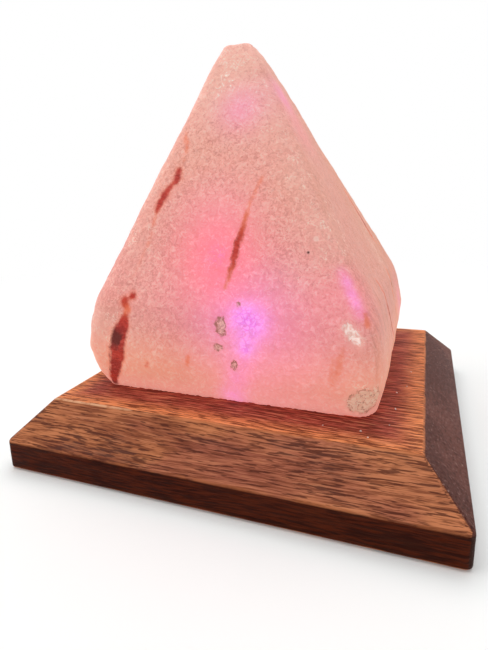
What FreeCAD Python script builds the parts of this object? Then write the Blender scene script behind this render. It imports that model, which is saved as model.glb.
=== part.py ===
"""Salt crystal lamp: a hand-cut pyramid of rock salt that stands on a bevelled wooden base.

A plastic tower carries three colour-changing light-emitting diodes up through the base into a hole drilled
in the underside of the crystal. A five-volt inlet in the rear edge of the base feeds them.

Frame: millimetres, +Z up, the origin on the table under the middle of the base, the front towards -Y.
"""
import FreeCAD, Part
import math
import os

import Sketcher
from FreeCAD import Vector

# Driving dimensions, in millimetres, degrees or counts.
DRIVING_SIZES = (
    # wooden base
    ("base_width", 100.0),
    ("base_thickness", 15.35),
    ("edge_height", 6.8),
    ("bevel_width", 8.6),
    ("base_corner_radius", 1.6),
    ("top_corner_radius", 0.6),
    # felt pads, let into the underside
    ("pad_radius", 6.0),
    ("pad_thickness", 1.6),
    ("pad_proud", 0.4),
    ("pad_inset", 10.0),
    # salt crystal: its sections, from the foot to the tip
    ("crystal_x", -1.6),
    ("crystal_y", 5.2),
    ("crystal_lean_x", -3.9),
    ("crystal_lean_y", -7.3),
    ("girdle_width", 71.5),
    ("girdle_depth", 75.3),
    ("girdle_height", 10.6),
    ("girdle_corner", 3.8),
    ("foot_inset", 2.2),
    ("foot_corner", 5.0),
    ("heel_height", 4.5),
    ("heel_inset", 0.8),
    ("heel_corner", 4.2),
    ("waist_height", 17.0),
    ("waist_inset", 0.8),
    ("waist_corner", 5.0),
    ("shoulder_height", 22.6),
    ("shoulder_inset", 1.8),
    ("shoulder_corner", 8.0),
    ("crown_height", 78.2),
    ("crown_width", 11.1),
    ("crown_corner", 2.2),
    ("tip_height", 81.6),
    ("tip_width", 6.9),
    ("tip_corner", 1.6),
    # hole drilled in the crystal for the tower
    ("cavity_radius", 15.0),
    ("cavity_depth", 30.0),
    ("cavity_cone", 3.0),
    # recess, bore and wire channel in the base
    ("recess_radius", 23.0),
    ("recess_web", 6.0),
    ("channel_width", 15.0),
    ("channel_depth", 6.2),
    ("rear_wall", 4.5),
    # lamp holder: flange, tower and the ledge for the board
    ("flange_radius", 21.0),
    ("flange_thickness", 2.0),
    ("tower_radius", 12.6),
    ("tower_wall", 1.6),
    ("tower_rise", 2.5),
    ("tower_clearance", 0.4),
    ("ledge_thickness", 2.0),
    ("ledge_drop", 2.0),
    ("ledge_hole_radius", 7.0),
    # clear dome over the diodes
    ("dome_wall", 1.2),
    ("dome_rim", 0.5),
    ("dome_rim_height", 1.4),
    ("dome_skirt", 2.0),
    ("spigot_depth", 1.8),
    ("spigot_clearance", 0.1),
    # diode board
    ("board_thickness", 1.2),
    ("board_clearance", 0.3),
    ("diode_ring_radius", 4.6),
    ("diode_radius", 2.5),
    ("diode_flange_radius", 2.9),
    ("diode_flange_height", 1.0),
    ("diode_height", 8.6),
    ("lead_pitch", 2.54),
    ("lead_width", 0.5),
    ("lead_length", 3.0),
    ("lead_hole_radius", 0.45),
    ("resistor_length", 2.0),
    ("resistor_width", 1.25),
    ("resistor_height", 0.55),
    # screws: core radius, head radius, head height, length under the head
    ("board_screw_radius", 0.9),
    ("board_screw_head_radius", 1.6),
    ("board_screw_head_height", 1.1),
    ("board_screw_length", 3.0),
    ("board_screw_circle", 9.0),
    ("holder_screw_radius", 1.25),
    ("holder_screw_head_radius", 2.5),
    ("holder_screw_head_height", 1.7),
    ("holder_screw_length", 6.5),
    ("holder_screw_circle", 17.0),
    ("inlet_screw_radius", 0.9),
    ("inlet_screw_head_radius", 1.7),
    ("inlet_screw_head_height", 1.1),
    ("inlet_screw_length", 4.5),
    ("cover_screw_radius", 1.1),
    ("cover_screw_head_radius", 2.1),
    ("cover_screw_head_height", 1.2),
    ("cover_screw_length", 7.0),
    ("screw_clearance", 0.05),
    ("pilot_spare", 0.3),
    ("hole_clearance", 0.2),
    # bottom cover: a disc with a tail along the channel
    ("cover_thickness", 1.5),
    ("cover_sunk", 0.1),
    ("cover_radius", 29.0),
    ("cover_tail_width", 28.0),
    ("cover_gap", 0.3),
    ("cover_screw_circle", 26.0),
    # five-volt inlet
    ("inlet_centre_height", 4.0),
    ("shell_width", 8.9),
    ("shell_height", 3.2),
    ("shell_wall", 0.3),
    ("shell_length", 7.4),
    ("shell_setback", 0.2),
    ("tongue_width", 6.7),
    ("tongue_thickness", 0.7),
    ("tongue_setback", 0.8),
    ("tongue_block", 1.8),
    ("contact_width", 0.35),
    ("contact_thickness", 0.12),
    ("contact_length", 3.6),
    ("contact_setback", 0.6),
    ("contact_pitch", 1.0),
    ("contacts_a_side", 6),
    ("inlet_board_width", 13.0),
    ("inlet_board_length", 14.0),
    ("inlet_board_thickness", 1.0),
    ("inlet_screw_spacing", 8.6),
    ("inlet_screw_setback", 3.4),
    ("slot_clearance", 0.25),
    ("bezel_width", 13.4),
    ("bezel_height", 4.8),
    ("bezel_thickness", 1.2),
    ("bezel_corner", 1.2),
    ("bezel_clearance", 0.1),
    # supply wires
    ("wire_radius", 0.6),
    ("wire_spacing", 4.0),
    ("wire_drop", 1.9),
    ("wire_start_inset", 2.0),
    ("wire_small_bend", 1.4),
    ("wire_large_bend", 5.0),
)

doc = FreeCAD.newDocument("salt_crystal_lamp")
sheet = doc.addObject("Spreadsheet::Sheet", "Sizes")
for row, (alias, value) in enumerate(DRIVING_SIZES, start=1):
    sheet.set(f"A{row}", alias)
    sheet.set(f"B{row}", str(value))
    sheet.setAlias(f"B{row}", alias)
doc.recompute()

# Levels and places that several pieces share, as expressions of the sheet's cells.
WOOD_BOTTOM = "Sizes.pad_proud"
WOOD_TOP = "(Sizes.pad_proud + Sizes.base_thickness)"
BEVEL_START = "(Sizes.pad_proud + Sizes.edge_height)"
RECESS_TOP = f"({WOOD_TOP} - Sizes.recess_web)"
CHANNEL_TOP = "(Sizes.pad_proud + Sizes.channel_depth)"
CHANNEL_END = "(Sizes.base_width / 2 - Sizes.rear_wall)"
TOWER_TOP = f"({WOOD_TOP} + Sizes.tower_rise)"
TOWER_BORE = "(Sizes.tower_radius - Sizes.tower_wall)"
LEDGE_TOP = f"({WOOD_TOP} - Sizes.ledge_drop)"
BOARD_TOP = f"({LEDGE_TOP} + Sizes.board_thickness)"
COVER_BOTTOM = "(Sizes.pad_proud + Sizes.cover_sunk)"
COVER_TOP = f"({COVER_BOTTOM} + Sizes.cover_thickness)"
COVER_TAIL_END = f"({CHANNEL_END} + 0.6 * Sizes.cover_gap)"
INLET_BOARD_BOTTOM = f"({CHANNEL_TOP} - Sizes.inlet_board_thickness)"
INLET_BOARD_FRONT = f"({CHANNEL_END} - Sizes.inlet_board_length)"
BASE_REAR = "(Sizes.base_width / 2)"
NEARLY_HALF = 0.49  # a corner radius of this share of the height makes a slot's ends round
SHELL_MOUTH = f"({BASE_REAR} - Sizes.shell_setback)"
SHELL_BACK = f"({SHELL_MOUTH} - Sizes.shell_length)"
INLET_HEIGHT = "Sizes.inlet_centre_height"
PAD_PLACE = "(Sizes.base_width / 2 - Sizes.pad_inset)"


def size(alias):
    """The number in one of the sheet's cells."""
    return float(sheet.get(alias))


# ---- small helpers for bodies and sketches -------------------------------------------------------


def new_body(label):
    body = doc.addObject("PartDesign::Body", label)
    body.Label = label
    return body


def new_sketch(body, name, plane="XY_Plane", x="0", y="0", z="0"):
    """A sketch on one of the body's own origin planes, moved by expressions in the plane's own axes."""
    sketch = body.newObject("Sketcher::SketchObject", name)
    origin_plane = [f for f in body.Origin.OriginFeatures if f.Role == plane][0]
    sketch.AttachmentSupport = [(origin_plane, "")]
    sketch.MapMode = "FlatFace"
    for axis, place in (("x", x), ("y", y), ("z", z)):
        sketch.setExpression(f"AttachmentOffset.Base.{axis}", place)
    return sketch


def constrain(sketch, constraint, expression):
    """Adds a dimension whose value follows an expression."""
    index = sketch.addConstraint(constraint)
    sketch.setExpression(f"Constraints[{index}]", expression)


def add_circle(sketch, radius, x="0", y="0"):
    circle = sketch.addGeometry(Part.Circle(Vector(0, 0, 0), Vector(0, 0, 1), 1.0), False)
    constrain(sketch, Sketcher.Constraint("Radius", circle, 1.0), radius)
    constrain(sketch, Sketcher.Constraint("DistanceX", -1, 1, circle, 3, 0.0), x)
    constrain(sketch, Sketcher.Constraint("DistanceY", -1, 1, circle, 3, 0.0), y)


def add_rectangle(sketch, left, right, bottom, top):
    """A rectangle between four expressions of the sketch's own coordinates."""
    corners = [Vector(-1, -1, 0), Vector(1, -1, 0), Vector(1, 1, 0), Vector(-1, 1, 0)]
    first = sketch.GeometryCount
    for i in range(4):
        sketch.addGeometry(Part.LineSegment(corners[i], corners[(i + 1) % 4]), False)
    for i in range(4):
        sketch.addConstraint(Sketcher.Constraint("Coincident", first + i, 2, first + (i + 1) % 4, 1))
    for side, direction in enumerate(("Horizontal", "Vertical", "Horizontal", "Vertical")):
        sketch.addConstraint(Sketcher.Constraint(direction, first + side))
    constrain(sketch, Sketcher.Constraint("DistanceX", -1, 1, first, 1, -1.0), left)
    constrain(sketch, Sketcher.Constraint("DistanceX", -1, 1, first + 1, 1, 1.0), right)
    constrain(sketch, Sketcher.Constraint("DistanceY", -1, 1, first, 1, -1.0), bottom)
    constrain(sketch, Sketcher.Constraint("DistanceY", -1, 1, first + 2, 1, 1.0), top)


def add_rounded_rectangle(sketch, width, depth, radius):
    """A rectangle centred on the sketch's origin, with an arc at each corner."""
    half, r = 10.0, 2.0
    inner = half - r
    up = Vector(0, 0, 1)
    turns = ((1, -1), (1, 1), (-1, 1), (-1, -1))
    centres = [Vector(x * inner, y * inner, 0) for x, y in turns]
    lines, arcs = [], []
    for i, centre in enumerate(centres):
        start = math.radians(90 * (i - 1))
        before = centres[i - 1] + Vector(math.cos(start), math.sin(start), 0) * r
        begin = centre + Vector(math.cos(start), math.sin(start), 0) * r
        lines.append(sketch.addGeometry(Part.LineSegment(before, begin), False))
        arc = Part.ArcOfCircle(Part.Circle(centre, up, r), start, start + math.pi / 2)
        arcs.append(sketch.addGeometry(arc, False))
    for i in range(4):
        sketch.addConstraint(Sketcher.Constraint("Tangent", lines[i], 2, arcs[i], 1))
        sketch.addConstraint(Sketcher.Constraint("Tangent", arcs[i], 2, lines[(i + 1) % 4], 1))
        sketch.addConstraint(Sketcher.Constraint("Horizontal" if i % 2 == 0 else "Vertical", lines[i]))
        if i:
            sketch.addConstraint(Sketcher.Constraint("Equal", arcs[0], arcs[i]))
    sketch.addConstraint(Sketcher.Constraint("Symmetric", arcs[0], 3, arcs[2], 3, -1, 1))
    constrain(sketch, Sketcher.Constraint("Radius", arcs[0], r), radius)
    across = Sketcher.Constraint("DistanceX", arcs[3], 3, arcs[0], 3, 2 * inner)
    constrain(sketch, across, f"{width} - 2 * {radius}")
    along = Sketcher.Constraint("DistanceY", arcs[0], 3, arcs[1], 3, 2 * inner)
    constrain(sketch, along, f"{depth} - 2 * {radius}")


def add_polygon(sketch, points):
    """A closed polygon through (x, y) pairs of expressions."""
    first = sketch.GeometryCount
    count = len(points)
    turns = [2 * math.pi * i / count for i in range(count)]
    rough = [Vector(math.cos(turn), math.sin(turn), 0) * 10 for turn in turns]
    for i in range(count):
        sketch.addGeometry(Part.LineSegment(rough[i], rough[(i + 1) % count]), False)
    for i in range(count):
        sketch.addConstraint(Sketcher.Constraint("Coincident", first + i, 2, first + (i + 1) % count, 1))
    for i, (x, y) in enumerate(points):
        constrain(sketch, Sketcher.Constraint("DistanceX", -1, 1, first + i, 1, rough[i].x), x)
        constrain(sketch, Sketcher.Constraint("DistanceY", -1, 1, first + i, 1, rough[i].y), y)


def pad(body, sketch, length, name="Pad"):
    feature = body.newObject("PartDesign::Pad", name)
    feature.Profile = sketch
    feature.setExpression("Length", length)
    return feature


def cut(body, sketch, length, name="Cut", along_normal=True):
    """A pocket from the sketch's plane, along its normal unless told otherwise."""
    feature = body.newObject("PartDesign::Pocket", name)
    feature.Profile = sketch
    feature.setExpression("Length", length)
    feature.Reversed = along_normal
    return feature


def loft(body, sketches, name):
    """A ruled loft through the sketches, from the first to the last."""
    feature = body.newObject("PartDesign::AdditiveLoft", name)
    feature.Profile = (sketches[0], [""])
    feature.Sections = [(sketch, [""]) for sketch in sketches[1:]]
    feature.Ruled = True
    return feature


# ---- small helpers for primitives ----------------------------------------------------------------


def place(part, x="0", y="0", z="0"):
    for axis, where in (("x", x), ("y", y), ("z", z)):
        part.setExpression(f"Placement.Base.{axis}", where)
    return part


def cylinder(name, radius, height, x="0", y="0", z="0"):
    part = doc.addObject("Part::Cylinder", name)
    part.setExpression("Radius", radius)
    part.setExpression("Height", height)
    return place(part, x, y, z)


def cone(name, low_radius, high_radius, height, x="0", y="0", z="0"):
    part = doc.addObject("Part::Cone", name)
    part.setExpression("Radius1", low_radius)
    part.setExpression("Radius2", high_radius)
    part.setExpression("Height", height)
    return place(part, x, y, z)


def block(name, width, depth, height, x="0", y="0", z="0"):
    """A box whose x and y are its middle, and whose z is its underside."""
    part = doc.addObject("Part::Box", name)
    part.setExpression("Length", width)
    part.setExpression("Width", depth)
    part.setExpression("Height", height)
    return place(part, f"{x} - {width} / 2", f"{y} - {depth} / 2", z)


def fuse(name, *parts):
    joined = doc.addObject("Part::MultiFuse", name)
    joined.Shapes = list(parts)
    return joined


def minus(name, solid, tools):
    left = doc.addObject("Part::Cut", name)
    left.Base = solid
    left.Tool = tools[0] if len(tools) == 1 else fuse(f"{name}_tools", *tools)
    return left


def group(name, parts):
    """Several separate solids that share one node."""
    together = doc.addObject("Part::Compound", name)
    together.Links = list(parts)
    return together


def on_circle(radius, angle):
    """The x and y expressions of a point on a circle about the origin, at an angle in degrees."""
    return f"{radius} * cos({angle} deg)", f"{radius} * sin({angle} deg)"


nodes = {}


def keep(label, part):
    """Names a finished sub-part. The name is its file's too."""
    part.Label = label
    nodes[label] = part
    return part


# ---- wooden base ---------------------------------------------------------------------------------

HOLDER_SCREW_ANGLES = (30, 150, 270)
COVER_DISC_SCREW_ANGLES = (210, 330)
PAD_CORNERS = ((-1, -1), (1, -1), (1, 1), (-1, 1))
TAIL_SCREW_X = "((Sizes.channel_width + Sizes.cover_tail_width) / 4)"
TAIL_SCREW_Y = f"({CHANNEL_END} - 6)"
INLET_SCREW_X = "(Sizes.inlet_screw_spacing / 2)"
INLET_SCREW_Y = f"({INLET_BOARD_FRONT} + Sizes.inlet_screw_setback)"


def cover_screw_places():
    """Two screws in the disc's rim and two at the tail."""
    places = [on_circle("Sizes.cover_screw_circle", angle) for angle in COVER_DISC_SCREW_ANGLES]
    return places + [(f"{side} * {TAIL_SCREW_X}", TAIL_SCREW_Y) for side in (-1, 1)]


def make_wood_base():
    """A square block, bevelled all round, hollowed from below."""
    body = new_body("wood_base")
    block_outline = new_sketch(body, "block_outline", z=WOOD_BOTTOM)
    add_rounded_rectangle(block_outline, "Sizes.base_width", "Sizes.base_width", "Sizes.base_corner_radius")
    pad(body, block_outline, "Sizes.edge_height", "edge_band")

    bevel_foot = new_sketch(body, "bevel_foot", z=BEVEL_START)
    add_rounded_rectangle(bevel_foot, "Sizes.base_width", "Sizes.base_width", "Sizes.base_corner_radius")
    bevel_top = new_sketch(body, "bevel_top", z=WOOD_TOP)
    top_width = "(Sizes.base_width - 2 * Sizes.bevel_width)"
    add_rounded_rectangle(bevel_top, top_width, top_width, "Sizes.top_corner_radius")
    loft(body, (bevel_foot, bevel_top), "bevels")

    rabbet_disc = new_sketch(body, "rabbet_disc", z=WOOD_BOTTOM)
    add_circle(rabbet_disc, "Sizes.cover_radius + Sizes.cover_gap")
    cut(body, rabbet_disc, f"{COVER_TOP} - {WOOD_BOTTOM}", "cover_rabbet_disc")
    rabbet_tail = new_sketch(body, "rabbet_tail", z=WOOD_BOTTOM)
    tail_half = "(Sizes.cover_tail_width / 2 + Sizes.cover_gap)"
    add_rectangle(rabbet_tail, f"-{tail_half}", tail_half, "0", f"{CHANNEL_END} + Sizes.cover_gap * 1.6")
    cut(body, rabbet_tail, f"{COVER_TOP} - {WOOD_BOTTOM}", "cover_rabbet_tail")

    recess = new_sketch(body, "recess", z=WOOD_BOTTOM)
    add_circle(recess, "Sizes.recess_radius")
    cut(body, recess, f"{RECESS_TOP} - {WOOD_BOTTOM}", "holder_recess")
    channel = new_sketch(body, "channel", z=WOOD_BOTTOM)
    add_rectangle(channel, "-Sizes.channel_width / 2", "Sizes.channel_width / 2", "0", CHANNEL_END)
    cut(body, channel, "Sizes.channel_depth", "wire_channel")
    bore = new_sketch(body, "bore", z=WOOD_BOTTOM)
    add_circle(bore, "Sizes.tower_radius + Sizes.tower_clearance")
    cut(body, bore, "Sizes.base_thickness + 1", "tower_bore")

    sockets = new_sketch(body, "sockets", z=WOOD_BOTTOM)
    for side_x, side_y in PAD_CORNERS:
        add_circle(sockets, "Sizes.pad_radius", f"{side_x} * {PAD_PLACE}", f"{side_y} * {PAD_PLACE}")
    cut(body, sockets, "Sizes.pad_thickness - Sizes.pad_proud", "pad_sockets")

    holder_pilots = new_sketch(body, "holder_pilots", z=RECESS_TOP)
    for angle in HOLDER_SCREW_ANGLES:
        add_circle(holder_pilots, "Sizes.holder_screw_radius + Sizes.screw_clearance",
                   *on_circle("Sizes.holder_screw_circle", angle))
    holder_pilot_depth = "Sizes.holder_screw_length - Sizes.flange_thickness + Sizes.pilot_spare"
    cut(body, holder_pilots, holder_pilot_depth, "holder_screw_pilots")
    cover_pilots = new_sketch(body, "cover_pilots", z=COVER_TOP)
    for x, y in cover_screw_places():
        add_circle(cover_pilots, "Sizes.cover_screw_radius + Sizes.screw_clearance", x, y)
    cover_pilot_depth = "Sizes.cover_screw_length - Sizes.cover_thickness + Sizes.pilot_spare"
    cut(body, cover_pilots, cover_pilot_depth, "cover_screw_pilots")
    inlet_pilots = new_sketch(body, "inlet_pilots", z=CHANNEL_TOP)
    for side in (-1, 1):
        add_circle(inlet_pilots, "Sizes.inlet_screw_radius + Sizes.screw_clearance",
                   f"{side} * {INLET_SCREW_X}", INLET_SCREW_Y)
    inlet_pilot_depth = "Sizes.inlet_screw_length - Sizes.inlet_board_thickness + Sizes.pilot_spare"
    cut(body, inlet_pilots, inlet_pilot_depth, "inlet_screw_pilots")

    # The inlet's slot and the bezel's seat are cut forwards from the rear face.
    slot = new_sketch(body, "inlet_slot", "XZ_Plane", y=INLET_HEIGHT, z=f"-{BASE_REAR}")
    slot_width = "(Sizes.shell_width + 2 * Sizes.slot_clearance)"
    slot_height = "(Sizes.shell_height + 2 * Sizes.slot_clearance)"
    add_rounded_rectangle(slot, slot_width, slot_height, f"({slot_height} * {NEARLY_HALF})")
    cut(body, slot, "Sizes.rear_wall + 0.5", "inlet_slot_cut")
    seat = new_sketch(body, "bezel_seat", "XZ_Plane", y=INLET_HEIGHT, z=f"-{BASE_REAR}")
    add_rounded_rectangle(seat, "(Sizes.bezel_width + 2 * Sizes.bezel_clearance)",
                          "(Sizes.bezel_height + 2 * Sizes.bezel_clearance)",
                          "(Sizes.bezel_corner + Sizes.bezel_clearance)")
    cut(body, seat, "Sizes.bezel_thickness", "bezel_seat_cut")
    return keep("wood_base", body)


# ---- salt crystal --------------------------------------------------------------------------------


def make_salt_crystal():
    """A blunt pyramid of seven sections that leans a little, with a drilled hole over the tower."""
    body = new_body("salt_crystal")

    def set_in(name):
        """The width and depth of a section set in all round from the girdle's."""
        return tuple(f"(Sizes.girdle_{way} - 2 * Sizes.{name}_inset)" for way in ("width", "depth"))

    sections = (
        ("foot", "0", *set_in("foot"), "Sizes.foot_corner"),
        ("heel", "Sizes.heel_height", *set_in("heel"), "Sizes.heel_corner"),
        ("girdle", "Sizes.girdle_height", "Sizes.girdle_width", "Sizes.girdle_depth", "Sizes.girdle_corner"),
        ("waist", "Sizes.waist_height", *set_in("waist"), "Sizes.waist_corner"),
        ("shoulder", "Sizes.shoulder_height", *set_in("shoulder"), "Sizes.shoulder_corner"),
        ("crown", "Sizes.crown_height", "Sizes.crown_width", "Sizes.crown_width", "Sizes.crown_corner"),
        ("tip", "Sizes.tip_height", "Sizes.tip_width", "Sizes.tip_width", "Sizes.tip_corner"),
    )
    sketches = []
    for name, height, width, depth, corner in sections:
        sketch = new_sketch(
            body,
            f"crystal_{name}",
            x=f"Sizes.crystal_x + Sizes.crystal_lean_x * {height} / Sizes.tip_height",
            y=f"Sizes.crystal_y + Sizes.crystal_lean_y * {height} / Sizes.tip_height",
            z=f"{WOOD_TOP} + {height}",
        )
        add_rounded_rectangle(sketch, width, depth, corner)
        sketches.append(sketch)
    loft(body, sketches, "pyramid")

    hole = new_sketch(body, "drilled_hole", z=WOOD_TOP)
    add_circle(hole, "Sizes.cavity_radius")
    cut(body, hole, "Sizes.cavity_depth", "cavity")
    cone_profile = new_sketch(body, "drill_point", "XZ_Plane")
    cavity_top = f"({WOOD_TOP} + Sizes.cavity_depth)"
    add_polygon(
        cone_profile,
        (("0", f"{cavity_top} - 1"), ("Sizes.cavity_radius", f"{cavity_top} - 1"),
         ("Sizes.cavity_radius", cavity_top), ("0", f"{cavity_top} + Sizes.cavity_cone")),
    )
    point = body.newObject("PartDesign::Groove", "drill_point_cut")
    point.Profile = cone_profile
    point.ReferenceAxis = (cone_profile, ["V_Axis"])
    point.Angle = 360.0
    return keep("salt_crystal", body)


# ---- lamp holder, dome, board and diodes ---------------------------------------------------------

DIODE_ANGLES = (("left", 210), ("right", 330), ("back", 90))
BOARD_SCREW_SIDES = (-1, 1)


def make_lamp_holder():
    """A flange screwed up into the recess, with a tower that carries the board and the dome."""
    body = new_body("lamp_holder")
    profile = new_sketch(body, "holder_profile", "XZ_Plane")
    flange_bottom = f"({RECESS_TOP} - Sizes.flange_thickness)"
    ledge_bottom = f"({LEDGE_TOP} - Sizes.ledge_thickness)"
    add_polygon(
        profile,
        ((TOWER_BORE, flange_bottom), ("Sizes.flange_radius", flange_bottom),
         ("Sizes.flange_radius", RECESS_TOP), ("Sizes.tower_radius", RECESS_TOP),
         ("Sizes.tower_radius", TOWER_TOP), (TOWER_BORE, TOWER_TOP),
         (TOWER_BORE, LEDGE_TOP), ("Sizes.ledge_hole_radius", LEDGE_TOP),
         ("Sizes.ledge_hole_radius", ledge_bottom), (TOWER_BORE, ledge_bottom)),
    )
    turned = body.newObject("PartDesign::Revolution", "turned_holder")
    turned.Profile = profile
    turned.ReferenceAxis = (profile, ["V_Axis"])
    turned.Angle = 360.0
    flange_holes = new_sketch(body, "flange_holes", z=flange_bottom)
    for angle in HOLDER_SCREW_ANGLES:
        add_circle(flange_holes, "Sizes.holder_screw_radius + Sizes.hole_clearance",
                   *on_circle("Sizes.holder_screw_circle", angle))
    cut(body, flange_holes, "Sizes.flange_thickness", "flange_screw_holes")
    ledge_pilots = new_sketch(body, "ledge_pilots", z=ledge_bottom)
    for side in BOARD_SCREW_SIDES:
        add_circle(ledge_pilots, "Sizes.board_screw_radius + Sizes.screw_clearance",
                   f"{side} * Sizes.board_screw_circle")
    cut(body, ledge_pilots, "Sizes.ledge_thickness", "ledge_screw_pilots")
    return keep("lamp_holder", body)


def make_lens_dome():
    """A clear shell: a half ball on a short skirt, a rim on the tower's lip and a spigot inside it."""
    outer = "(Sizes.tower_radius - Sizes.dome_rim)"
    inner = f"({outer} - Sizes.dome_wall)"
    skirt_top = f"({TOWER_TOP} + Sizes.dome_skirt)"
    spigot = f"({TOWER_BORE} - Sizes.spigot_clearance)"
    ball = doc.addObject("Part::Sphere", "dome_ball")
    ball.setExpression("Radius", outer)
    ball.Angle1 = 0
    place(ball, z=skirt_top)
    hollow = doc.addObject("Part::Sphere", "dome_hollow")
    hollow.setExpression("Radius", inner)
    hollow.Angle1 = 0
    place(hollow, z=skirt_top)
    shell = fuse(
        "dome_shell",
        ball,
        cylinder("dome_skirt", outer, "Sizes.dome_skirt", z=TOWER_TOP),
        cylinder("dome_rim_ring", "Sizes.tower_radius", "Sizes.dome_rim_height", z=TOWER_TOP),
        cylinder("dome_spigot", spigot, "Sizes.spigot_depth", z=f"{TOWER_TOP} - Sizes.spigot_depth"),
    )
    well = cylinder("dome_well", f"{spigot} - Sizes.dome_wall", "Sizes.spigot_depth",
                    z=f"{TOWER_TOP} - Sizes.spigot_depth")
    well_top = cylinder("dome_well_top", f"{spigot} - Sizes.dome_wall", "Sizes.dome_skirt", z=TOWER_TOP)
    return keep("lens_dome", minus("dome", shell, (hollow, well, well_top)))


def diode_place(angle):
    return on_circle("Sizes.diode_ring_radius", angle)


def lead_places():
    """Two leads for each diode, side by side across its radius."""
    places = []
    for _, angle in DIODE_ANGLES:
        x, y = diode_place(angle)
        for side in (-1, 1):
            shift = f"{side} * Sizes.lead_pitch / 2"
            places.append((f"{x} - {shift} * sin({angle} deg)", f"{y} + {shift} * cos({angle} deg)"))
    return places


def make_led_board():
    thickness = "Sizes.board_thickness"
    disc = cylinder("board_disc", f"{TOWER_BORE} - Sizes.board_clearance", thickness, z=LEDGE_TOP)
    holes = [
        cylinder(f"lead_hole_{i}", "Sizes.lead_hole_radius", thickness, x, y, LEDGE_TOP)
        for i, (x, y) in enumerate(lead_places())
    ]
    screw_hole_radius = "Sizes.board_screw_radius + Sizes.hole_clearance"
    holes += [
        cylinder(f"board_screw_hole_{i}", screw_hole_radius, thickness,
                 f"{side} * Sizes.board_screw_circle", "0", LEDGE_TOP)
        for i, side in enumerate(BOARD_SCREW_SIDES)
    ]
    return keep("led_board", minus("board", disc, holes))


def make_diodes():
    """Three moulded diodes: a flange, a barrel and a round end."""
    for name, angle in DIODE_ANGLES:
        x, y = diode_place(angle)
        barrel = "(Sizes.diode_height - Sizes.diode_radius)"
        end = doc.addObject("Part::Sphere", f"diode_{name}_end")
        end.setExpression("Radius", "Sizes.diode_radius")
        end.Angle1 = 0
        place(end, x, y, f"{BOARD_TOP} + {barrel}")
        diode = fuse(
            f"diode_{name}",
            cylinder(f"diode_{name}_flange", "Sizes.diode_flange_radius", "Sizes.diode_flange_height",
                     x, y, BOARD_TOP),
            cylinder(f"diode_{name}_barrel", "Sizes.diode_radius", barrel, x, y, BOARD_TOP),
            end,
        )
        keep(f"led_{name}", diode)


def make_led_leads():
    leads = [
        block(f"lead_{i}", "Sizes.lead_width", "Sizes.lead_width", "Sizes.lead_length", x, y,
              f"{BOARD_TOP} - Sizes.lead_length")
        for i, (x, y) in enumerate(lead_places())
    ]
    return keep("led_leads", group("leads", leads))


def make_resistors():
    """Three chip resistors under the board, between the leads."""
    places = (("0", "-0.8 * Sizes.diode_ring_radius"),
              ("-Sizes.diode_ring_radius", "0.5 * Sizes.diode_ring_radius"),
              ("Sizes.diode_ring_radius", "0.5 * Sizes.diode_ring_radius"))
    chips = [
        block(f"resistor_{i}", "Sizes.resistor_length", "Sizes.resistor_width", "Sizes.resistor_height", x, y,
              f"{LEDGE_TOP} - Sizes.resistor_height")
        for i, (x, y) in enumerate(places)
    ]
    return keep("resistors", group("resistor_chips", chips))


# ---- screws --------------------------------------------------------------------------------------


def hanging_screw(name, kind, x, y, head_top, sign):
    """A pan-head screw. Its head bears at head_top, and its shank points up for sign 1 and down for -1."""
    head_height = f"Sizes.{kind}_screw_head_height"
    head_bottom = f"{head_top} - {head_height}" if sign > 0 else head_top
    head = cylinder(f"{name}_head", f"Sizes.{kind}_screw_head_radius", head_height, x, y, head_bottom)
    tip = f"Sizes.{kind}_screw_radius"
    straight = f"(Sizes.{kind}_screw_length - {tip})"
    if sign > 0:
        shank = cylinder(f"{name}_shank", tip, straight, x, y, head_top)
        point = cone(f"{name}_point", tip, f"0.2 * {tip}", tip, x, y, f"{head_top} + {straight}")
    else:
        shank = cylinder(f"{name}_shank", tip, straight, x, y, f"{head_top} - {straight}")
        point = cone(f"{name}_point", f"0.2 * {tip}", tip, tip, x, y, f"{head_top} - {straight} - {tip}")
    return fuse(name, head, shank, point)


def make_screws():
    board = [
        hanging_screw(f"board_screw_{i}", "board", f"{side} * Sizes.board_screw_circle", "0", BOARD_TOP, -1)
        for i, side in enumerate(BOARD_SCREW_SIDES)
    ]
    keep("led_board_screws", group("board_screws", board))
    flange_bottom = f"({RECESS_TOP} - Sizes.flange_thickness)"
    holder = []
    for i, angle in enumerate(HOLDER_SCREW_ANGLES):
        x, y = on_circle("Sizes.holder_screw_circle", angle)
        holder.append(hanging_screw(f"holder_screw_{i}", "holder", x, y, flange_bottom, 1))
    keep("holder_screws", group("holder_screw_set", holder))
    inlet = []
    for i, side in enumerate((-1, 1)):
        x = f"{side} * {INLET_SCREW_X}"
        inlet.append(hanging_screw(f"inlet_screw_{i}", "inlet", x, INLET_SCREW_Y, INLET_BOARD_BOTTOM, 1))
    keep("inlet_board_screws", group("inlet_screws", inlet))
    cover = []
    for i, (x, y) in enumerate(cover_screw_places()):
        radius, head_radius = "Sizes.cover_screw_radius", "Sizes.cover_screw_head_radius"
        head_height = "Sizes.cover_screw_head_height"
        straight = f"(Sizes.cover_screw_length - {head_height} - {radius})"
        cover.append(
            fuse(
                f"cover_screw_{i}",
                cone(f"cover_screw_{i}_head", head_radius, radius, head_height, x, y, COVER_BOTTOM),
                cylinder(f"cover_screw_{i}_shank", radius, straight, x, y, f"{COVER_BOTTOM} + {head_height}"),
                cone(f"cover_screw_{i}_point", radius, f"0.2 * {radius}", radius, x, y,
                     f"{COVER_BOTTOM} + {head_height} + {straight}"),
            )
        )
    keep("cover_screws", group("cover_screw_set", cover))


# ---- bottom cover and felt pads ------------------------------------------------------------------


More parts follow.
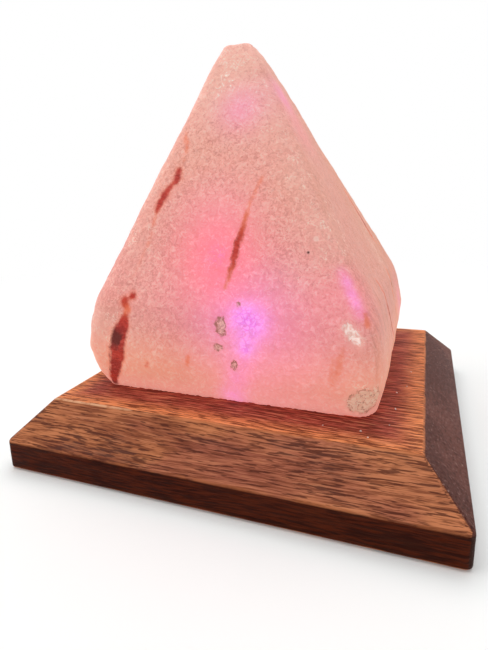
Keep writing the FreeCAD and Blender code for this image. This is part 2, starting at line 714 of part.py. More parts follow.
def make_bottom_cover():
    """A thin plate in a rabbet of the base: a disc with a tail over the wire channel."""
    plate = fuse(
        "cover_plate",
        cylinder("cover_disc", "Sizes.cover_radius", "Sizes.cover_thickness", z=COVER_BOTTOM),
        block("cover_tail", "Sizes.cover_tail_width", COVER_TAIL_END, "Sizes.cover_thickness", "0",
              f"{COVER_TAIL_END} / 2", COVER_BOTTOM),
    )
    holes = []
    for i, (x, y) in enumerate(cover_screw_places()):
        wide = "(Sizes.cover_screw_head_radius + Sizes.screw_clearance)"
        narrow = "(Sizes.cover_screw_radius + Sizes.screw_clearance)"
        sink_depth = "Sizes.cover_screw_head_height"
        holes.append(cone(f"cover_sink_{i}", wide, narrow, sink_depth, x, y, COVER_BOTTOM))
        holes.append(cylinder(f"cover_hole_{i}", narrow, "Sizes.cover_thickness", x, y, COVER_BOTTOM))
    return keep("bottom_cover", minus("cover", plate, holes))


def make_felt_pads():
    pads = [
        cylinder(f"pad_{i}", "Sizes.pad_radius", "Sizes.pad_thickness",
                 f"{sx} * {PAD_PLACE}", f"{sy} * {PAD_PLACE}")
        for i, (sx, sy) in enumerate(PAD_CORNERS)
    ]
    return keep("felt_pads", group("pads", pads))


# ---- five-volt inlet -----------------------------------------------------------------------------


def obround(body, name, width, height, front, length):
    """A slab with round ends, lying along Y from its front to its rear."""
    sketch = new_sketch(body, name, "XZ_Plane", y=INLET_HEIGHT, z=f"-({front} + {length})")
    add_rounded_rectangle(sketch, width, height, f"({height} * {NEARLY_HALF})")
    return sketch


def make_inlet_shell():
    """A drawn steel tube, open towards the rear."""
    body = new_body("inlet_shell")
    outline = obround(body, "shell_outline", "Sizes.shell_width", "Sizes.shell_height",
                      SHELL_BACK, "Sizes.shell_length")
    pad(body, outline, "Sizes.shell_length", "shell_tube")
    hollow = obround(body, "shell_hollow", "(Sizes.shell_width - 2 * Sizes.shell_wall)",
                     "(Sizes.shell_height - 2 * Sizes.shell_wall)", SHELL_BACK, "Sizes.shell_length")
    cut(body, hollow, "Sizes.shell_length", "shell_opening")
    return keep("inlet_shell", body)


def make_inlet_tongue():
    """The moulded block that closes the shell, with the tongue that carries the contacts."""
    body = new_body("inlet_tongue")
    rear = obround(body, "tongue_block", "(Sizes.shell_width - 2 * Sizes.shell_wall)",
                   "(Sizes.shell_height - 2 * Sizes.shell_wall)", SHELL_BACK, "Sizes.tongue_block")
    pad(body, rear, "Sizes.tongue_block", "block_pad")
    tongue_tip = f"({SHELL_MOUTH} - Sizes.tongue_setback)"
    tongue = new_sketch(body, "tongue_outline", "XZ_Plane", y=INLET_HEIGHT, z=f"-{tongue_tip}")
    add_rectangle(tongue, "-Sizes.tongue_width / 2", "Sizes.tongue_width / 2",
                  "-Sizes.tongue_thickness / 2", "Sizes.tongue_thickness / 2")
    pad(body, tongue, "Sizes.shell_length - Sizes.tongue_setback - 0.5 * Sizes.tongue_block", "tongue_pad")
    return keep("inlet_tongue", body)


def make_inlet_contacts():
    """Gilt strips on both faces of the tongue."""
    strips = []
    count = int(size("contacts_a_side"))
    for i in range(count):
        x = f"({i} - ({count} - 1) / 2) * Sizes.contact_pitch"
        y = f"({SHELL_MOUTH} - Sizes.tongue_setback - Sizes.contact_setback - Sizes.contact_length / 2)"
        for face, z in (("upper", f"{INLET_HEIGHT} + Sizes.tongue_thickness / 2"),
                        ("lower", f"{INLET_HEIGHT} - Sizes.tongue_thickness / 2 - Sizes.contact_thickness")):
            strips.append(block(f"contact_{face}_{i}", "Sizes.contact_width", "Sizes.contact_length",
                                "Sizes.contact_thickness", x, y, z))
    return keep("inlet_contacts", group("contacts", strips))


def make_inlet_board():
    """A small board screwed up against the channel's roof, with the shell soldered under it."""
    thickness = "Sizes.inlet_board_thickness"
    slab = block("inlet_slab", "Sizes.inlet_board_width", "Sizes.inlet_board_length", thickness,
                 "0", f"({INLET_BOARD_FRONT} + Sizes.inlet_board_length / 2)", INLET_BOARD_BOTTOM)
    hole_radius = "Sizes.inlet_screw_radius + Sizes.hole_clearance"
    holes = [
        cylinder(f"inlet_hole_{i}", hole_radius, thickness,
                 f"{side} * {INLET_SCREW_X}", INLET_SCREW_Y, INLET_BOARD_BOTTOM)
        for i, side in enumerate((-1, 1))
    ]
    return keep("inlet_board", minus("inlet_board_cut", slab, holes))


def make_inlet_bezel():
    """A trim plate, flush with the base's rear edge, round the shell's mouth."""
    body = new_body("inlet_bezel")
    outline = new_sketch(body, "bezel_outline", "XZ_Plane", y=INLET_HEIGHT, z=f"-{BASE_REAR}")
    add_rounded_rectangle(outline, "Sizes.bezel_width", "Sizes.bezel_height", "Sizes.bezel_corner")
    pad(body, outline, "Sizes.bezel_thickness", "bezel_plate")
    mouth = new_sketch(body, "bezel_mouth", "XZ_Plane", y=INLET_HEIGHT, z=f"-{BASE_REAR}")
    mouth_width = "(Sizes.shell_width + 2 * Sizes.bezel_clearance)"
    mouth_height = "(Sizes.shell_height + 2 * Sizes.bezel_clearance)"
    add_rounded_rectangle(mouth, mouth_width, mouth_height, f"({mouth_height} * {NEARLY_HALF})")
    cut(body, mouth, "Sizes.bezel_thickness", "bezel_mouth_cut")
    return keep("inlet_bezel", body)


# ---- supply wires --------------------------------------------------------------------------------


def bent_tube(points, bends, radius):
    """A round wire along straight runs, with a tangent arc of its own radius at each inner point."""
    edges = []
    here = points[0]
    for i in range(1, len(points) - 1):
        before = (points[i] - points[i - 1]).normalize()
        after = (points[i + 1] - points[i]).normalize()
        half_turn = before.getAngle(after) / 2
        reach = bends[i - 1] * math.tan(half_turn)
        start, end = points[i] - before * reach, points[i] + after * reach
        inward = (after - before).normalize()
        middle = points[i] + inward * bends[i - 1] * (1 / math.cos(half_turn) - 1)
        edges.append(Part.LineSegment(here, start).toShape())
        edges.append(Part.Arc(start, middle, end).toShape())
        here = end
    edges.append(Part.LineSegment(here, points[-1]).toShape())
    profile = Part.Wire(Part.Circle(points[0], points[1] - points[0], radius).toShape())
    return Part.Wire(edges).makePipeShell([profile], True, False)


def make_supply_wires():
    """From the inlet board's pads, along the channel and up to the underside of the diode board."""
    channel_top = size("pad_proud") + size("channel_depth")
    pads_z = channel_top - size("inlet_board_thickness")
    run_z = pads_z - size("wire_drop")
    board_z = size("pad_proud") + size("base_thickness") - size("ledge_drop")
    board_front = size("base_width") / 2 - size("rear_wall") - size("inlet_board_length")
    pads_y = board_front + size("wire_start_inset")
    for name, side in (("supply_wire_positive", -1), ("supply_wire_negative", 1)):
        x = side * size("wire_spacing") / 2
        places = ((pads_y, pads_z), (pads_y, run_z), (0, run_z), (0, board_z))
        route = [Vector(x, y, z) for y, z in places]
        bends = (size("wire_small_bend"), size("wire_large_bend"))
        wire = doc.addObject("Part::Feature", name)
        wire.Shape = bent_tube(route, bends, size("wire_radius"))
        keep(name, wire)


# ---- build, check and write ----------------------------------------------------------------------

make_wood_base()
make_salt_crystal()
make_lamp_holder()
make_lens_dome()
make_led_board()
make_diodes()
make_led_leads()
make_resistors()
make_screws()
make_bottom_cover()
make_felt_pads()
make_inlet_shell()
make_inlet_tongue()
make_inlet_contacts()
make_inlet_board()
make_inlet_bezel()
make_supply_wires()
doc.recompute()

broken = [o.Name for o in doc.Objects if "Invalid" in o.State or "Error" in o.State]
if broken:
    raise RuntimeError(f"these objects failed: {broken}")
for label, part in nodes.items():
    if part.Shape.isNull() or not part.Shape.isValid() or not part.Shape.Solids:
        raise RuntimeError(f"{label} has no valid solid")

os.makedirs("parts", exist_ok=True)
for label, part in nodes.items():
    part.Shape.exportStep(f"parts/{label}.step")
    print(f"{label}: {len(part.Shape.Solids)} solids, {part.Shape.Volume:.1f} mm3")
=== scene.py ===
# Salt crystal lamp: a hand-cut pyramid of rock salt, lit from inside, on a bevelled wooden base.
import math
import random
from contextlib import contextmanager

import bmesh
import bpy
from mathutils import Matrix, Vector, geometry, noise


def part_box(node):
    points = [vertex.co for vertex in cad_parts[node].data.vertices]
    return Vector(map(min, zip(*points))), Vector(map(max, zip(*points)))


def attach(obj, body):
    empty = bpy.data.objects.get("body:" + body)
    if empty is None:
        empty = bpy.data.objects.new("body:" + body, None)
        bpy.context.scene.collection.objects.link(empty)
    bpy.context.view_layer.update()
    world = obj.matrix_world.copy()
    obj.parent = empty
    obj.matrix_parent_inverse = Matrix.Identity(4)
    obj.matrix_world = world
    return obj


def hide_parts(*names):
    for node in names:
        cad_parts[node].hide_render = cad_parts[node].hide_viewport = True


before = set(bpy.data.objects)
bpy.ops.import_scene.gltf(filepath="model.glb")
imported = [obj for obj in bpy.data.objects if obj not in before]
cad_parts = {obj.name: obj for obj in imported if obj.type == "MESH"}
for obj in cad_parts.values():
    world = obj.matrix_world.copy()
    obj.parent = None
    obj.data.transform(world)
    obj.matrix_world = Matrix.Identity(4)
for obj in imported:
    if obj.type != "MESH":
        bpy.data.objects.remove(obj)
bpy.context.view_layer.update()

mm = 0.001

# ---- The view ------------------------------------------------------------------------------------
# The photograph is taken from close by, to the right of the front and from a little above, with the
# camera slightly tilted. Its frame is cropped off the middle of the lens, which the shift stands for.
eye = Vector((38.95, -129.97, 64.44)) * mm
eye_azimuth = math.radians(22.78)
eye_elevation = math.radians(13.95)
eye_roll = math.radians(-2.16)
lens_length = 27.653
lens_shift = (0.0435, -0.0243)


def into_scene(name, data):
    """A new object in the scene."""
    piece = bpy.data.objects.new(name, data)
    bpy.context.scene.collection.objects.link(piece)
    return piece


backwards = Vector((
    math.sin(eye_azimuth) * math.cos(eye_elevation),
    -math.cos(eye_azimuth) * math.cos(eye_elevation),
    math.sin(eye_elevation),
))
rightwards = Vector((math.cos(eye_azimuth), math.sin(eye_azimuth), 0))
upwards = backwards.cross(rightwards)
camera = into_scene("camera", bpy.data.cameras.new("camera"))
camera.data.lens = lens_length
camera.data.shift_x, camera.data.shift_y = lens_shift
camera.data.clip_start = 1 * mm
camera.matrix_world = (
    Matrix.Translation(eye)
    @ Matrix((rightwards, upwards, backwards)).transposed().to_4x4()
    @ Matrix.Rotation(eye_roll, 4, "Z")
)
bpy.context.scene.camera = camera

# ---- Wooden base ---------------------------------------------------------------------------------
# A square block of a coarse, open-pored reddish hardwood, its grain from left to right. It is bevelled on
# a router, sanded, stained and oiled. Its edges are worn pale in broken lines, which also carry a painted
# highlight, its top is painted maroon as shade under the crystal, and the end grain has drunk more stain.
base_low, base_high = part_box("wood_base")
bevel_start = 7.2 * mm
top_half_width = 41.4 * mm
edge_ease = 0.45 * mm
mitre_ease = 0.5 * mm
corner_ease = 1.5 * mm
# How far the edge lines of painted highlight and wear reach from their edge.
worn_and_highlit_reach = 0.5 * mm


def add(tree, kind, inputs=(), output=0, **settings):
    """Adds a node, links or sets its (input, value) pairs, and gives back one of its outputs."""
    node = tree.nodes.new(kind)
    for key, value in settings.items():
        setattr(node, key, value)
    for key, value in inputs:
        if isinstance(value, bpy.types.NodeSocket):
            tree.links.new(value, node.inputs[key])
        else:
            node.inputs[key].default_value = value
    return node.outputs[output]


def tree_of(*values):
    """The node tree of the sockets that are among the values."""
    return next(value.id_data for value in values if isinstance(value, bpy.types.NodeSocket))


def sum_of(operation, *values, clamp=False):
    """One step of arithmetic on numbers and sockets."""
    pairs = list(enumerate(values))
    return add(tree_of(*values), "ShaderNodeMath", pairs, operation=operation, use_clamp=clamp)


def times(first, second, clamp=False):
    return sum_of("MULTIPLY", first, second, clamp=clamp)


def rest_of(share):
    return sum_of("SUBTRACT", 1.0, share)


def moved(operation, first, second, output=0):
    """One step of arithmetic on places, the first of them a socket."""
    pairs = ((0, first), (1, second))
    return add(first.id_data, "ShaderNodeVectorMath", pairs, output, operation=operation)


def part_of(vector, axis):
    """A place's or direction's x, y or z, as axis 0, 1 or 2."""
    return add(vector.id_data, "ShaderNodeSeparateXYZ", ((0, vector),), axis)


def between(value, low, high, out_low=0.0, out_high=1.0):
    """Carries a value smoothly from one range to another."""
    ends = (("From Min", low), ("From Max", high), ("To Min", out_low), ("To Max", out_high))
    pairs = (("Value", value), *ends)
    return add(value.id_data, "ShaderNodeMapRange", pairs, interpolation_type="SMOOTHSTEP")


def blend(share, first, second, way="MIX"):
    """Mixes two colours, given as (r, g, b) or as sockets, by a share from 0 to 1."""
    tree = tree_of(share, first, second)
    node = tree.nodes.new("ShaderNodeMix")
    node.data_type = "RGBA"
    node.blend_type = way
    for index, value in ((0, share), (6, first), (7, second)):
        if isinstance(value, bpy.types.NodeSocket):
            tree.links.new(value, node.inputs[index])
        else:
            node.inputs[index].default_value = value if index == 0 else (*value, 1.0)
    return node.outputs[2]


def coated(ground, *coats):
    """Lays coats of colour over a ground. A coat is a colour and its share, or a colour and the value that
    its share follows, with the value's low and high and, where it isn't 1, the most of the share.
    """
    for colour, value, *span in coats:
        share = between(value, span[0], span[1], 0, *span[2:]) if span else value
        ground = blend(share, ground, colour)
    return ground


def empty_finish(name):
    """A new material, its shader, and each point's place in the piece's own frame, in metres."""
    material = bpy.data.materials.new(name)
    material.use_nodes = True
    tree = material.node_tree
    return material, tree.nodes["Principled BSDF"], add(tree, "ShaderNodeTexCoord", output=3)


def own_facing(tree):
    """The way the surface faces, in the piece's own frame."""
    return add(tree, "ShaderNodeTexCoord", output=1)


def stretched(place, scale, turn=(0, 0, 0)):
    pairs = (("Vector", place), ("Scale", scale), ("Rotation", turn))
    return add(place.id_data, "ShaderNodeMapping", pairs)


def cloud(place, scale, detail=3, rough=0.5, twist=0.0, output=0):
    """Noise at a place: a number, or a colour as output 1."""
    looks = (("Scale", scale), ("Detail", detail), ("Roughness", rough), ("Distortion", twist))
    return add(place.id_data, "ShaderNodeTexNoise", (("Vector", place), *looks), output)


def join(shader, **sockets):
    """Links sockets to the shader's inputs. An input's name is written with _ for a space."""
    for name, value in sockets.items():
        shader.id_data.links.new(value, shader.inputs[name.replace("_", " ")])


def set_plain(shader, **values):
    """Sets values that are the same all over, on the shader's own sockets."""
    for name, value in values.items():
        shader.inputs[name.replace("_", " ")].default_value = value


def roughen(shader, height, strength, distance):
    """Gives the shader a bump from a height."""
    pairs = (("Height", height), ("Strength", strength), ("Distance", distance))
    join(shader, Normal=add(shader.id_data, "ShaderNodeBump", pairs))


def oiled_wood():
    material, shader, place = empty_finish("oiled_wood")
    facing = own_facing(place.id_data)
    across, rearward, height = (part_of(place, axis) for axis in range(3))
    upward = part_of(facing, 2)

    # The grain wanders a little as it runs along X.
    wander = cloud(stretched(place, (0.25, 1, 1)), 60, 2, output=1)
    wander = moved("SUBTRACT", wander, (0.5, 0.5, 0.5))
    wander = moved("MULTIPLY", wander, (0, 5 * mm, 5 * mm))
    grain = moved("ADD", place, wander)

    # Noises drawn out along the grain: how short, scale, detail and roughness.
    bands, tints, fibres, dashes, clusters, flecks, ribs = (
        cloud(stretched(grain, (length, 1, 1)), scale, detail, rough)
        for length, scale, detail, rough in (
            (0.14, 230, 3, 0.5),
            (0.45, 70, 3, 0.5),
            (0.045, 2500, 3, 0.66),
            (0.08, 3000, 2, 0.5),
            (0.35, 170, 3, 0.55),
            (0.16, 1500, 3, 0.6),
            (0.075, 2300, 3, 0.6),
        )
    )

    # Orange and brown bands under a maroon cloudiness, with dark open pores that lie in clusters.
    gather = between(clusters, 0.36, 0.66, -0.04, 0.065)
    pores = between(sum_of("ADD", dashes, gather), 0.545, 0.625, 0, 0.8)
    grey = times(between(clusters, 0.5, 0.7, 0, 0.42), between(flecks, 0.4, 0.62))
    body = coated(
        (0.31, 0.092, 0.044),
        ((0.54, 0.19, 0.08), bands, 0.38, 0.62),
        ((0.64, 0.235, 0.108), across, 6 * mm, 30 * mm, 0.65),
        ((0.36, 0.105, 0.068), tints, 0.48, 0.64, 0.65),
        ((0.15, 0.038, 0.018), fibres, 0.47, 0.59, 0.66),
        ((0.7, 0.28, 0.135), fibres, 0.46, 0.34, 0.38),
        ((0.085, 0.022, 0.014), pores),
        ((0.085, 0.04, 0.034), grey),
    )

    # The top is sanded cleaner. Its maroon middle is painted shade and painted pink reflection from the
    # crystal, and its orange edges are a painted highlight.
    outward = sum_of("MAXIMUM", sum_of("ABSOLUTE", across), sum_of("ABSOLUTE", rearward))
    top = coated(
        # Painted shade: the maroon ground. Painted highlight: the orange coat towards the edges.
        (0.4, 0.076, 0.05),
        ((0.8, 0.27, 0.1), outward, 34.5 * mm, 41.2 * mm),
        ((0.12, 0.02, 0.01), ribs, 0.48, 0.58, 0.84),
        ((0.88, 0.37, 0.19), ribs, 0.45, 0.34, 0.42),
        ((0.095, 0.018, 0.01), times(pores, 0.75)),
    )

    # The sides below the bevels are dark with stain.
    side = between(sum_of("ABSOLUTE", upward), 0.45, 0.1)
    dark = coated(
        (0.082, 0.011, 0.002),
        ((0.026, 0.003, 0.001), ribs, 0.38, 0.6),
        ((0.092, 0.016, 0.004), bands, 0.5, 0.68, 0.25),
    )

    # End grain shows no long fibres: only dull, dark wood with a few fine pale specks.
    end = between(sum_of("ABSOLUTE", part_of(facing, 0)), 0.42, 0.55)
    specks = cloud(place, 1500, 4, 0.75)
    dull = coated(
        (0.105, 0.034, 0.026),
        ((0.165, 0.058, 0.044), tints, 0.4, 0.62),
        ((0.42, 0.25, 0.21), specks, 0.58, 0.68, 0.75),
        ((0.038, 0.011, 0.008), specks, 0.49, 0.38, 0.8),
        ((0.024, 0.006, 0.003), times(side, 0.8)),
    )
    body = coated(body, (top, upward, 0.93, 0.99), (dark, times(side, 0.98)), (dull, end))

    # The edges round the top and at the foot of the bevels carry broken lines of painted orange highlight
    # mixed with pale wear, and the top's left part is worn cream.
    edge_line_gaps = cloud(stretched(place, (0.5, 0.5, 1)), 300, 4, 0.65)

    def worn_and_highlit_line(half_width, level, gap_threshold):
        aside = sum_of("SUBTRACT", outward, half_width)
        above = sum_of("SUBTRACT", height, level)
        away = sum_of("SQRT", sum_of("ADD", times(aside, aside), times(above, above)))
        line = between(away, worn_and_highlit_reach, 0.35 * worn_and_highlit_reach)
        return times(line, between(edge_line_gaps, 0.42, gap_threshold))

    foot_line = times(worn_and_highlit_line(base_high.x, bevel_start, 0.62), rest_of(end))
    top_line = worn_and_highlit_line(top_half_width, base_high.z, 0.58)
    cream = between(across, -10 * mm, -28 * mm, 0, 0.8)
    # The orange foot line and top line are painted highlight together with pale wear; the cream on the top
    # line's left part is real wear.
    body = coated(
        body,
        ((0.44, 0.135, 0.05), times(foot_line, 0.5)),
        ((0.62, 0.215, 0.085), times(top_line, 0.6)),
        ((0.76, 0.45, 0.27), times(top_line, cream)),
    )

    join(shader, Base_Color=body)
    join(shader, Roughness=between(fibres, 0.35, 0.7, 0.48, 0.66))
    set_plain(shader, Specular_IOR_Level=0.06)
    relief = sum_of("ADD", times(ribs, 0.8), times(pores, -0.6))
    roughen(shader, relief, 0.6, 0.14 * mm)
    return material


@contextmanager
def reshaped(mesh):
    """Opens a mesh for changes to its points and faces, and writes them back."""
    work = bmesh.new()
    work.from_mesh(mesh)
    yield work
    work.to_mesh(mesh)
    work.free()


def welded_copy(node, name):
    """A copy of a CAD node as a piece of its own, with its flat faces whole again."""
    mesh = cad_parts[node].data.copy()
    mesh.name = name
    mesh.materials.clear()
    with reshaped(mesh) as work:
        bmesh.ops.remove_doubles(work, verts=work.verts, dist=0.002 * mm)
        bmesh.ops.dissolve_limit(work, angle_limit=math.radians(0.5), verts=work.verts, edges=work.edges)
    return into_scene(name, mesh)


def shade_round(piece, angle=35):
    """Smooth shading, except across edges sharper than the angle in degrees."""
    with reshaped(piece.data) as work:
        for face in work.faces:
            face.smooth = True
        for edge in work.edges:
            if len(edge.link_faces) == 2 and edge.calc_face_angle(0) > math.radians(angle):
                edge.smooth = False


def ease_base_edges(piece):
    """Rounds the upright corners, the mitres, and the rims of the top, the bevels and the underside."""
    long_edge = 3 * mm
    level_edge = 0.02 * mm
    fold = math.radians(15)
    # How far out an edge's ends lie at least, low down and at the top.
    outer, inner = base_high.x - 2 * mm, top_half_width - 1.4 * mm
    rims = ((base_low.z, outer), (bevel_start, outer), (base_high.z, inner))

    def ease(wanted, offset, segments):
        chosen = [edge for edge in work.edges if edge.calc_face_angle(0) > fold and wanted(*edge.verts)]
        bmesh.ops.bevel(
            work, geom=chosen, offset=offset, segments=segments,
            profile=0.5, affect="EDGES", clamp_overlap=True,
        )

    def climbs_corner(first, second, half_width):
        on_corner = all(min(abs(end.co.x), abs(end.co.y)) > half_width for end in (first, second))
        return on_corner and abs(first.co.z - second.co.z) > long_edge

    def upright(first, second):
        return climbs_corner(first, second, outer)

    def mitre(first, second):
        above_foot = min(first.co.z, second.co.z) > bevel_start - 0.1 * mm
        return above_foot and climbs_corner(first, second, inner)

    def level_rim(first, second):
        if abs(first.co.z - second.co.z) > level_edge:
            return False
        for height, half_width in rims:
            if abs(first.co.z - height) < level_edge:
                return all(max(abs(end.co.x), abs(end.co.y)) > half_width for end in (first, second))
        return False

    with reshaped(piece.data) as work:
        ease(upright, corner_ease, 4)
        ease(mitre, mitre_ease, 3)
        ease(level_rim, edge_ease, 3)
        bmesh.ops.triangulate(work, faces=work.faces)


wood_finish = oiled_wood()
wood_block = welded_copy("wood_base", "oiled_wood_block")
ease_base_edges(wood_block)
shade_round(wood_block)
wood_block.data.materials.append(wood_finish)
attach(wood_block, "base")
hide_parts("wood_base")

# ---- Felt pads -----------------------------------------------------------------------------------
# Four discs punched from pressed grey felt and glued into shallow holes under the base, so that it
# stands on them. The punch draws their rims in, and the wool stays a little fuzzy.
pads_low, pads_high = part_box("felt_pads")
pad_radius = 5.95 * mm
pad_place = pads_high.x - 6 * mm
pad_points = 48

# From the middle of the underside to that of the top: share of the radius, share of the thickness.
pad_rings = (
    (0.0, 0.02),
    (0.7, 0.0),
    (0.92, 0.03),
    (0.99, 0.14),
    (1.0, 0.45),
    (1.0, 1.0),
    (0.0, 1.0),
)


def grey_felt():
    material, shader, place = empty_finish("grey_felt")
    wool = cloud(place, 1400, 6, 0.7)
    tufts = cloud(stretched(place, (1, 1, 1), (0.6, 0.2, 0.9)), 380)
    join(shader, Base_Color=coated(
        (0.045, 0.045, 0.05),
        ((0.17, 0.165, 0.17), wool, 0.35, 0.65),
        ((0.26, 0.25, 0.25), tufts, 0.5, 0.7, 0.4),
    ))
    set_plain(shader, Roughness=0.95, Specular_IOR_Level=0.15, Sheen_Weight=0.4)
    roughen(shader, wool, 0.8, 0.2 * mm)
    return material


def punched_disc(work, centre, thickness):
    """One pad: rings of points from the middle of its underside, round its rim, to its top."""
    loops = []
    for share, height in pad_rings:
        if share == 0.0:
            loops.append([work.verts.new(centre + Vector((0, 0, height * thickness)))])
            continue
        loop = []
        for step in range(pad_points):
            angle = math.tau * step / pad_points
            fuzz = 1 + 0.006 * noise.noise(Vector((math.cos(angle) * 3, math.sin(angle) * 3, share * 5)))
            reach = pad_radius * share * min(fuzz, 1.0)
            spot = Vector((math.cos(angle) * reach, math.sin(angle) * reach, height * thickness))
            loop.append(work.verts.new(centre + spot))
        loops.append(loop)
    for low, high in zip(loops, loops[1:]):
        for step in range(pad_points):
            after = (step + 1) % pad_points
            if len(low) == 1:
                work.faces.new((low[0], high[after], high[step]))
            elif len(high) == 1:
                work.faces.new((low[step], low[after], high[0]))
            else:
                work.faces.new((low[step], low[after], high[after], high[step]))


pad_mesh = bpy.data.meshes.new("felt_discs")
with reshaped(pad_mesh) as pad_work:
    for side_x in (-1, 1):
        for side_y in (-1, 1):
            middle = Vector((side_x * pad_place, side_y * pad_place, pads_low.z))
            punched_disc(pad_work, middle, pads_high.z - pads_low.z)
felt_discs = into_scene("felt_discs", pad_mesh)
shade_round(felt_discs, 50)
felt_discs.data.materials.append(grey_felt())
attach(felt_discs, "base")
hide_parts("felt_pads")

# ---- Bottom cover --------------------------------------------------------------------------------
# A plate of black moulded plastic in a rabbet of the underside, with the fine spark-eroded texture of
# its mould. It closes the recess and the wire channel.


def moulded_plastic(name, colour, pale, roughness, texture):
    """Moulded plastic: a faint cloudiness, and a spark-eroded texture of a given depth."""
    material, shader, place = empty_finish(name)
    erosion = cloud(place, 2600, 2)
    haze = cloud(place, 90)
    join(shader, Base_Color=coated(colour, (pale, haze, 0.35, 0.65)))
    join(shader, Roughness=between(haze, 0.3, 0.7, roughness, roughness + 0.12))
    set_plain(shader, Specular_IOR_Level=0.45)
    roughen(shader, erosion, 0.5, texture)
    return material


def refinish(node, material):
    """Puts a better material on a CAD node."""
    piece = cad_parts[node]
    if not piece.material_slots:
        piece.data.materials.append(material)
    for slot in piece.material_slots:
        slot.material = material


black_moulding = moulded_plastic(
    "black_moulding", (0.018, 0.018, 0.02), (0.034, 0.034, 0.036), 0.42, 0.05 * mm
)
refinish("bottom_cover", black_moulding)

# ---- Cover screws --------------------------------------------------------------------------------
# Four small countersunk wood screws of bright zinc-plated steel, flush in the cover, with a cross
# recess punched in each head.
cross_length = 2.4 * mm
cross_width = 0.55 * mm
cross_depth = 0.9 * mm


def plated_steel(name, colour, roughness):
    """Bright plated steel with faint turning marks and handling haze."""
    material, shader, place = empty_finish(name)
    marks = cloud(stretched(place, (1, 1, 0.2)), 1800)
    haze = cloud(place, 260, 4)
    darker = tuple(part * 0.72 for part in colour)
    join(shader, Base_Color=coated(colour, (darker, haze, 0.35, 0.68)))
    join(shader, Roughness=between(marks, 0.3, 0.7, roughness, roughness + 0.16))
    set_plain(shader, Metallic=1.0)
    roughen(shader, marks, 0.25, 0.02 * mm)
    return material


def box_between(work, low, high):
    """A closed box between two corners."""
    corners = [
        work.verts.new((x, y, z))
        for z in (low.z, high.z) for y in (low.y, high.y) for x in (low.x, high.x)
    ]
    for face in ((0, 2, 3, 1), (4, 5, 7, 6), (0, 1, 5, 4), (2, 6, 7, 3), (0, 4, 6, 2), (1, 3, 7, 5)):
        work.faces.new([corners[index] for index in face])


def settle(piece):
    """Works a piece's modifiers into its mesh."""
    settled = piece.evaluated_get(bpy.context.evaluated_depsgraph_get())
    mesh = bpy.data.meshes.new_from_object(settled)
    piece.modifiers.clear()
    piece.data = mesh


def cross_recessed(node, name):
    """A copy of a CAD node's screws, one in each quarter, with a cross recess cut up into each head."""
    piece = welded_copy(node, name)
    quarters = {}
    for vertex in piece.data.vertices:
        quarters.setdefault((vertex.co.x > 0, vertex.co.y > 0), []).append(vertex.co)
    cutter = bpy.data.meshes.new("cross_cutter")
    turn = random.Random(4)
    with reshaped(cutter) as work:
        for screw in quarters.values():
            middle = Vector((
                (min(p.x for p in screw) + max(p.x for p in screw)) / 2,
                (min(p.y for p in screw) + max(p.y for p in screw)) / 2,
                min(p.z for p in screw),
            ))
            spin = Matrix.Translation(middle) @ Matrix.Rotation(turn.uniform(0, math.pi / 2), 4, "Z")
            for length, width in ((cross_length, cross_width), (cross_width, cross_length)):
                half = Vector((length / 2, width / 2, cross_depth))
                first = len(work.verts)
                box_between(work, -half, half)
                work.verts.ensure_lookup_table()
                bmesh.ops.transform(work, matrix=spin, verts=work.verts[first:])
    cutting = into_scene("cross_cutter", cutter)
    carve = piece.modifiers.new("carve", "BOOLEAN")
    carve.operation = "DIFFERENCE"
    carve.solver = "EXACT"
    carve.use_self = True
    carve.object = cutting
    settle(piece)
    bpy.data.objects.remove(cutting)
    shade_round(piece, 30)
    return piece


zinc_steel = plated_steel("zinc_steel", (0.62, 0.63, 0.65), 0.26)
cover_screws = cross_recessed("cover_screws", "countersunk_screws")
cover_screws.data.materials.clear()
cover_screws.data.materials.append(zinc_steel)
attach(cover_screws, "base")
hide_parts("cover_screws")
for node in ("holder_screws", "led_board_screws", "inlet_board_screws"):
    refinish(node, zinc_steel)

# ---- Five-volt inlet -----------------------------------------------------------------------------
# A drawn and nickel-plated steel tube with a black moulded tongue and gilt contacts, soldered under a
# small green board. A black bezel trims its mouth in the base's rear edge.


def circuit_sheet():
    """Glass-filled sheet under green solder mask, with copper tracks that show through."""
    material, shader, place = empty_finish("circuit_sheet")
    turned = stretched(place, (1, 1, 0.001), (0, 0, math.radians(45)))
    black, white = (0, 0, 0, 1), (1, 1, 1, 1)
    tracks = add(place.id_data, "ShaderNodeTexBrick", (
        ("Vector", turned), ("Scale", 260), ("Mortar Size", 0.03),
        ("Color1", black), ("Color2", black), ("Mortar", white),
    ))
    haze = cloud(place, 500)
    mask = blend(haze, (0.006, 0.065, 0.026), (0.012, 0.105, 0.042))
    join(shader, Base_Color=blend(tracks, mask, (0.035, 0.2, 0.075)))
    join(shader, Roughness=between(haze, 0.3, 0.7, 0.26, 0.38))
    roughen(shader, tracks, 0.4, 0.04 * mm)
    return material


refinish("inlet_shell", plated_steel("nickel_steel", (0.7, 0.68, 0.64), 0.22))
refinish("inlet_tongue", black_moulding)
refinish("inlet_bezel", black_moulding)
refinish("inlet_contacts", plated_steel("gilt", (0.86, 0.63, 0.26), 0.2))
board_sheet = circuit_sheet()
refinish("inlet_board", board_sheet)

# ---- Supply wires --------------------------------------------------------------------------------
# Two thin stranded wires in soft sleeves, red and black, from the inlet's board up into the tower. They
# lie in the channel that is cut into the wood, over the tail of the bottom cover.


def soft_sleeve(name, colour):
    material, shader, place = empty_finish(name)
    scuffs = cloud(stretched(place, (1, 0.3, 1)), 900, 4)
    paler = tuple(min(1.0, part * 1.5 + 0.02) for part in colour)
    join(shader, Base_Color=coated(colour, (paler, scuffs, 0.5, 0.75)))
    join(shader, Roughness=between(scuffs, 0.3, 0.7, 0.38, 0.55))
    return material


refinish("supply_wire_positive", soft_sleeve("red_sleeve", (0.5, 0.022, 0.016)))
refinish("supply_wire_negative", soft_sleeve("black_sleeve", (0.018, 0.018, 0.02)))

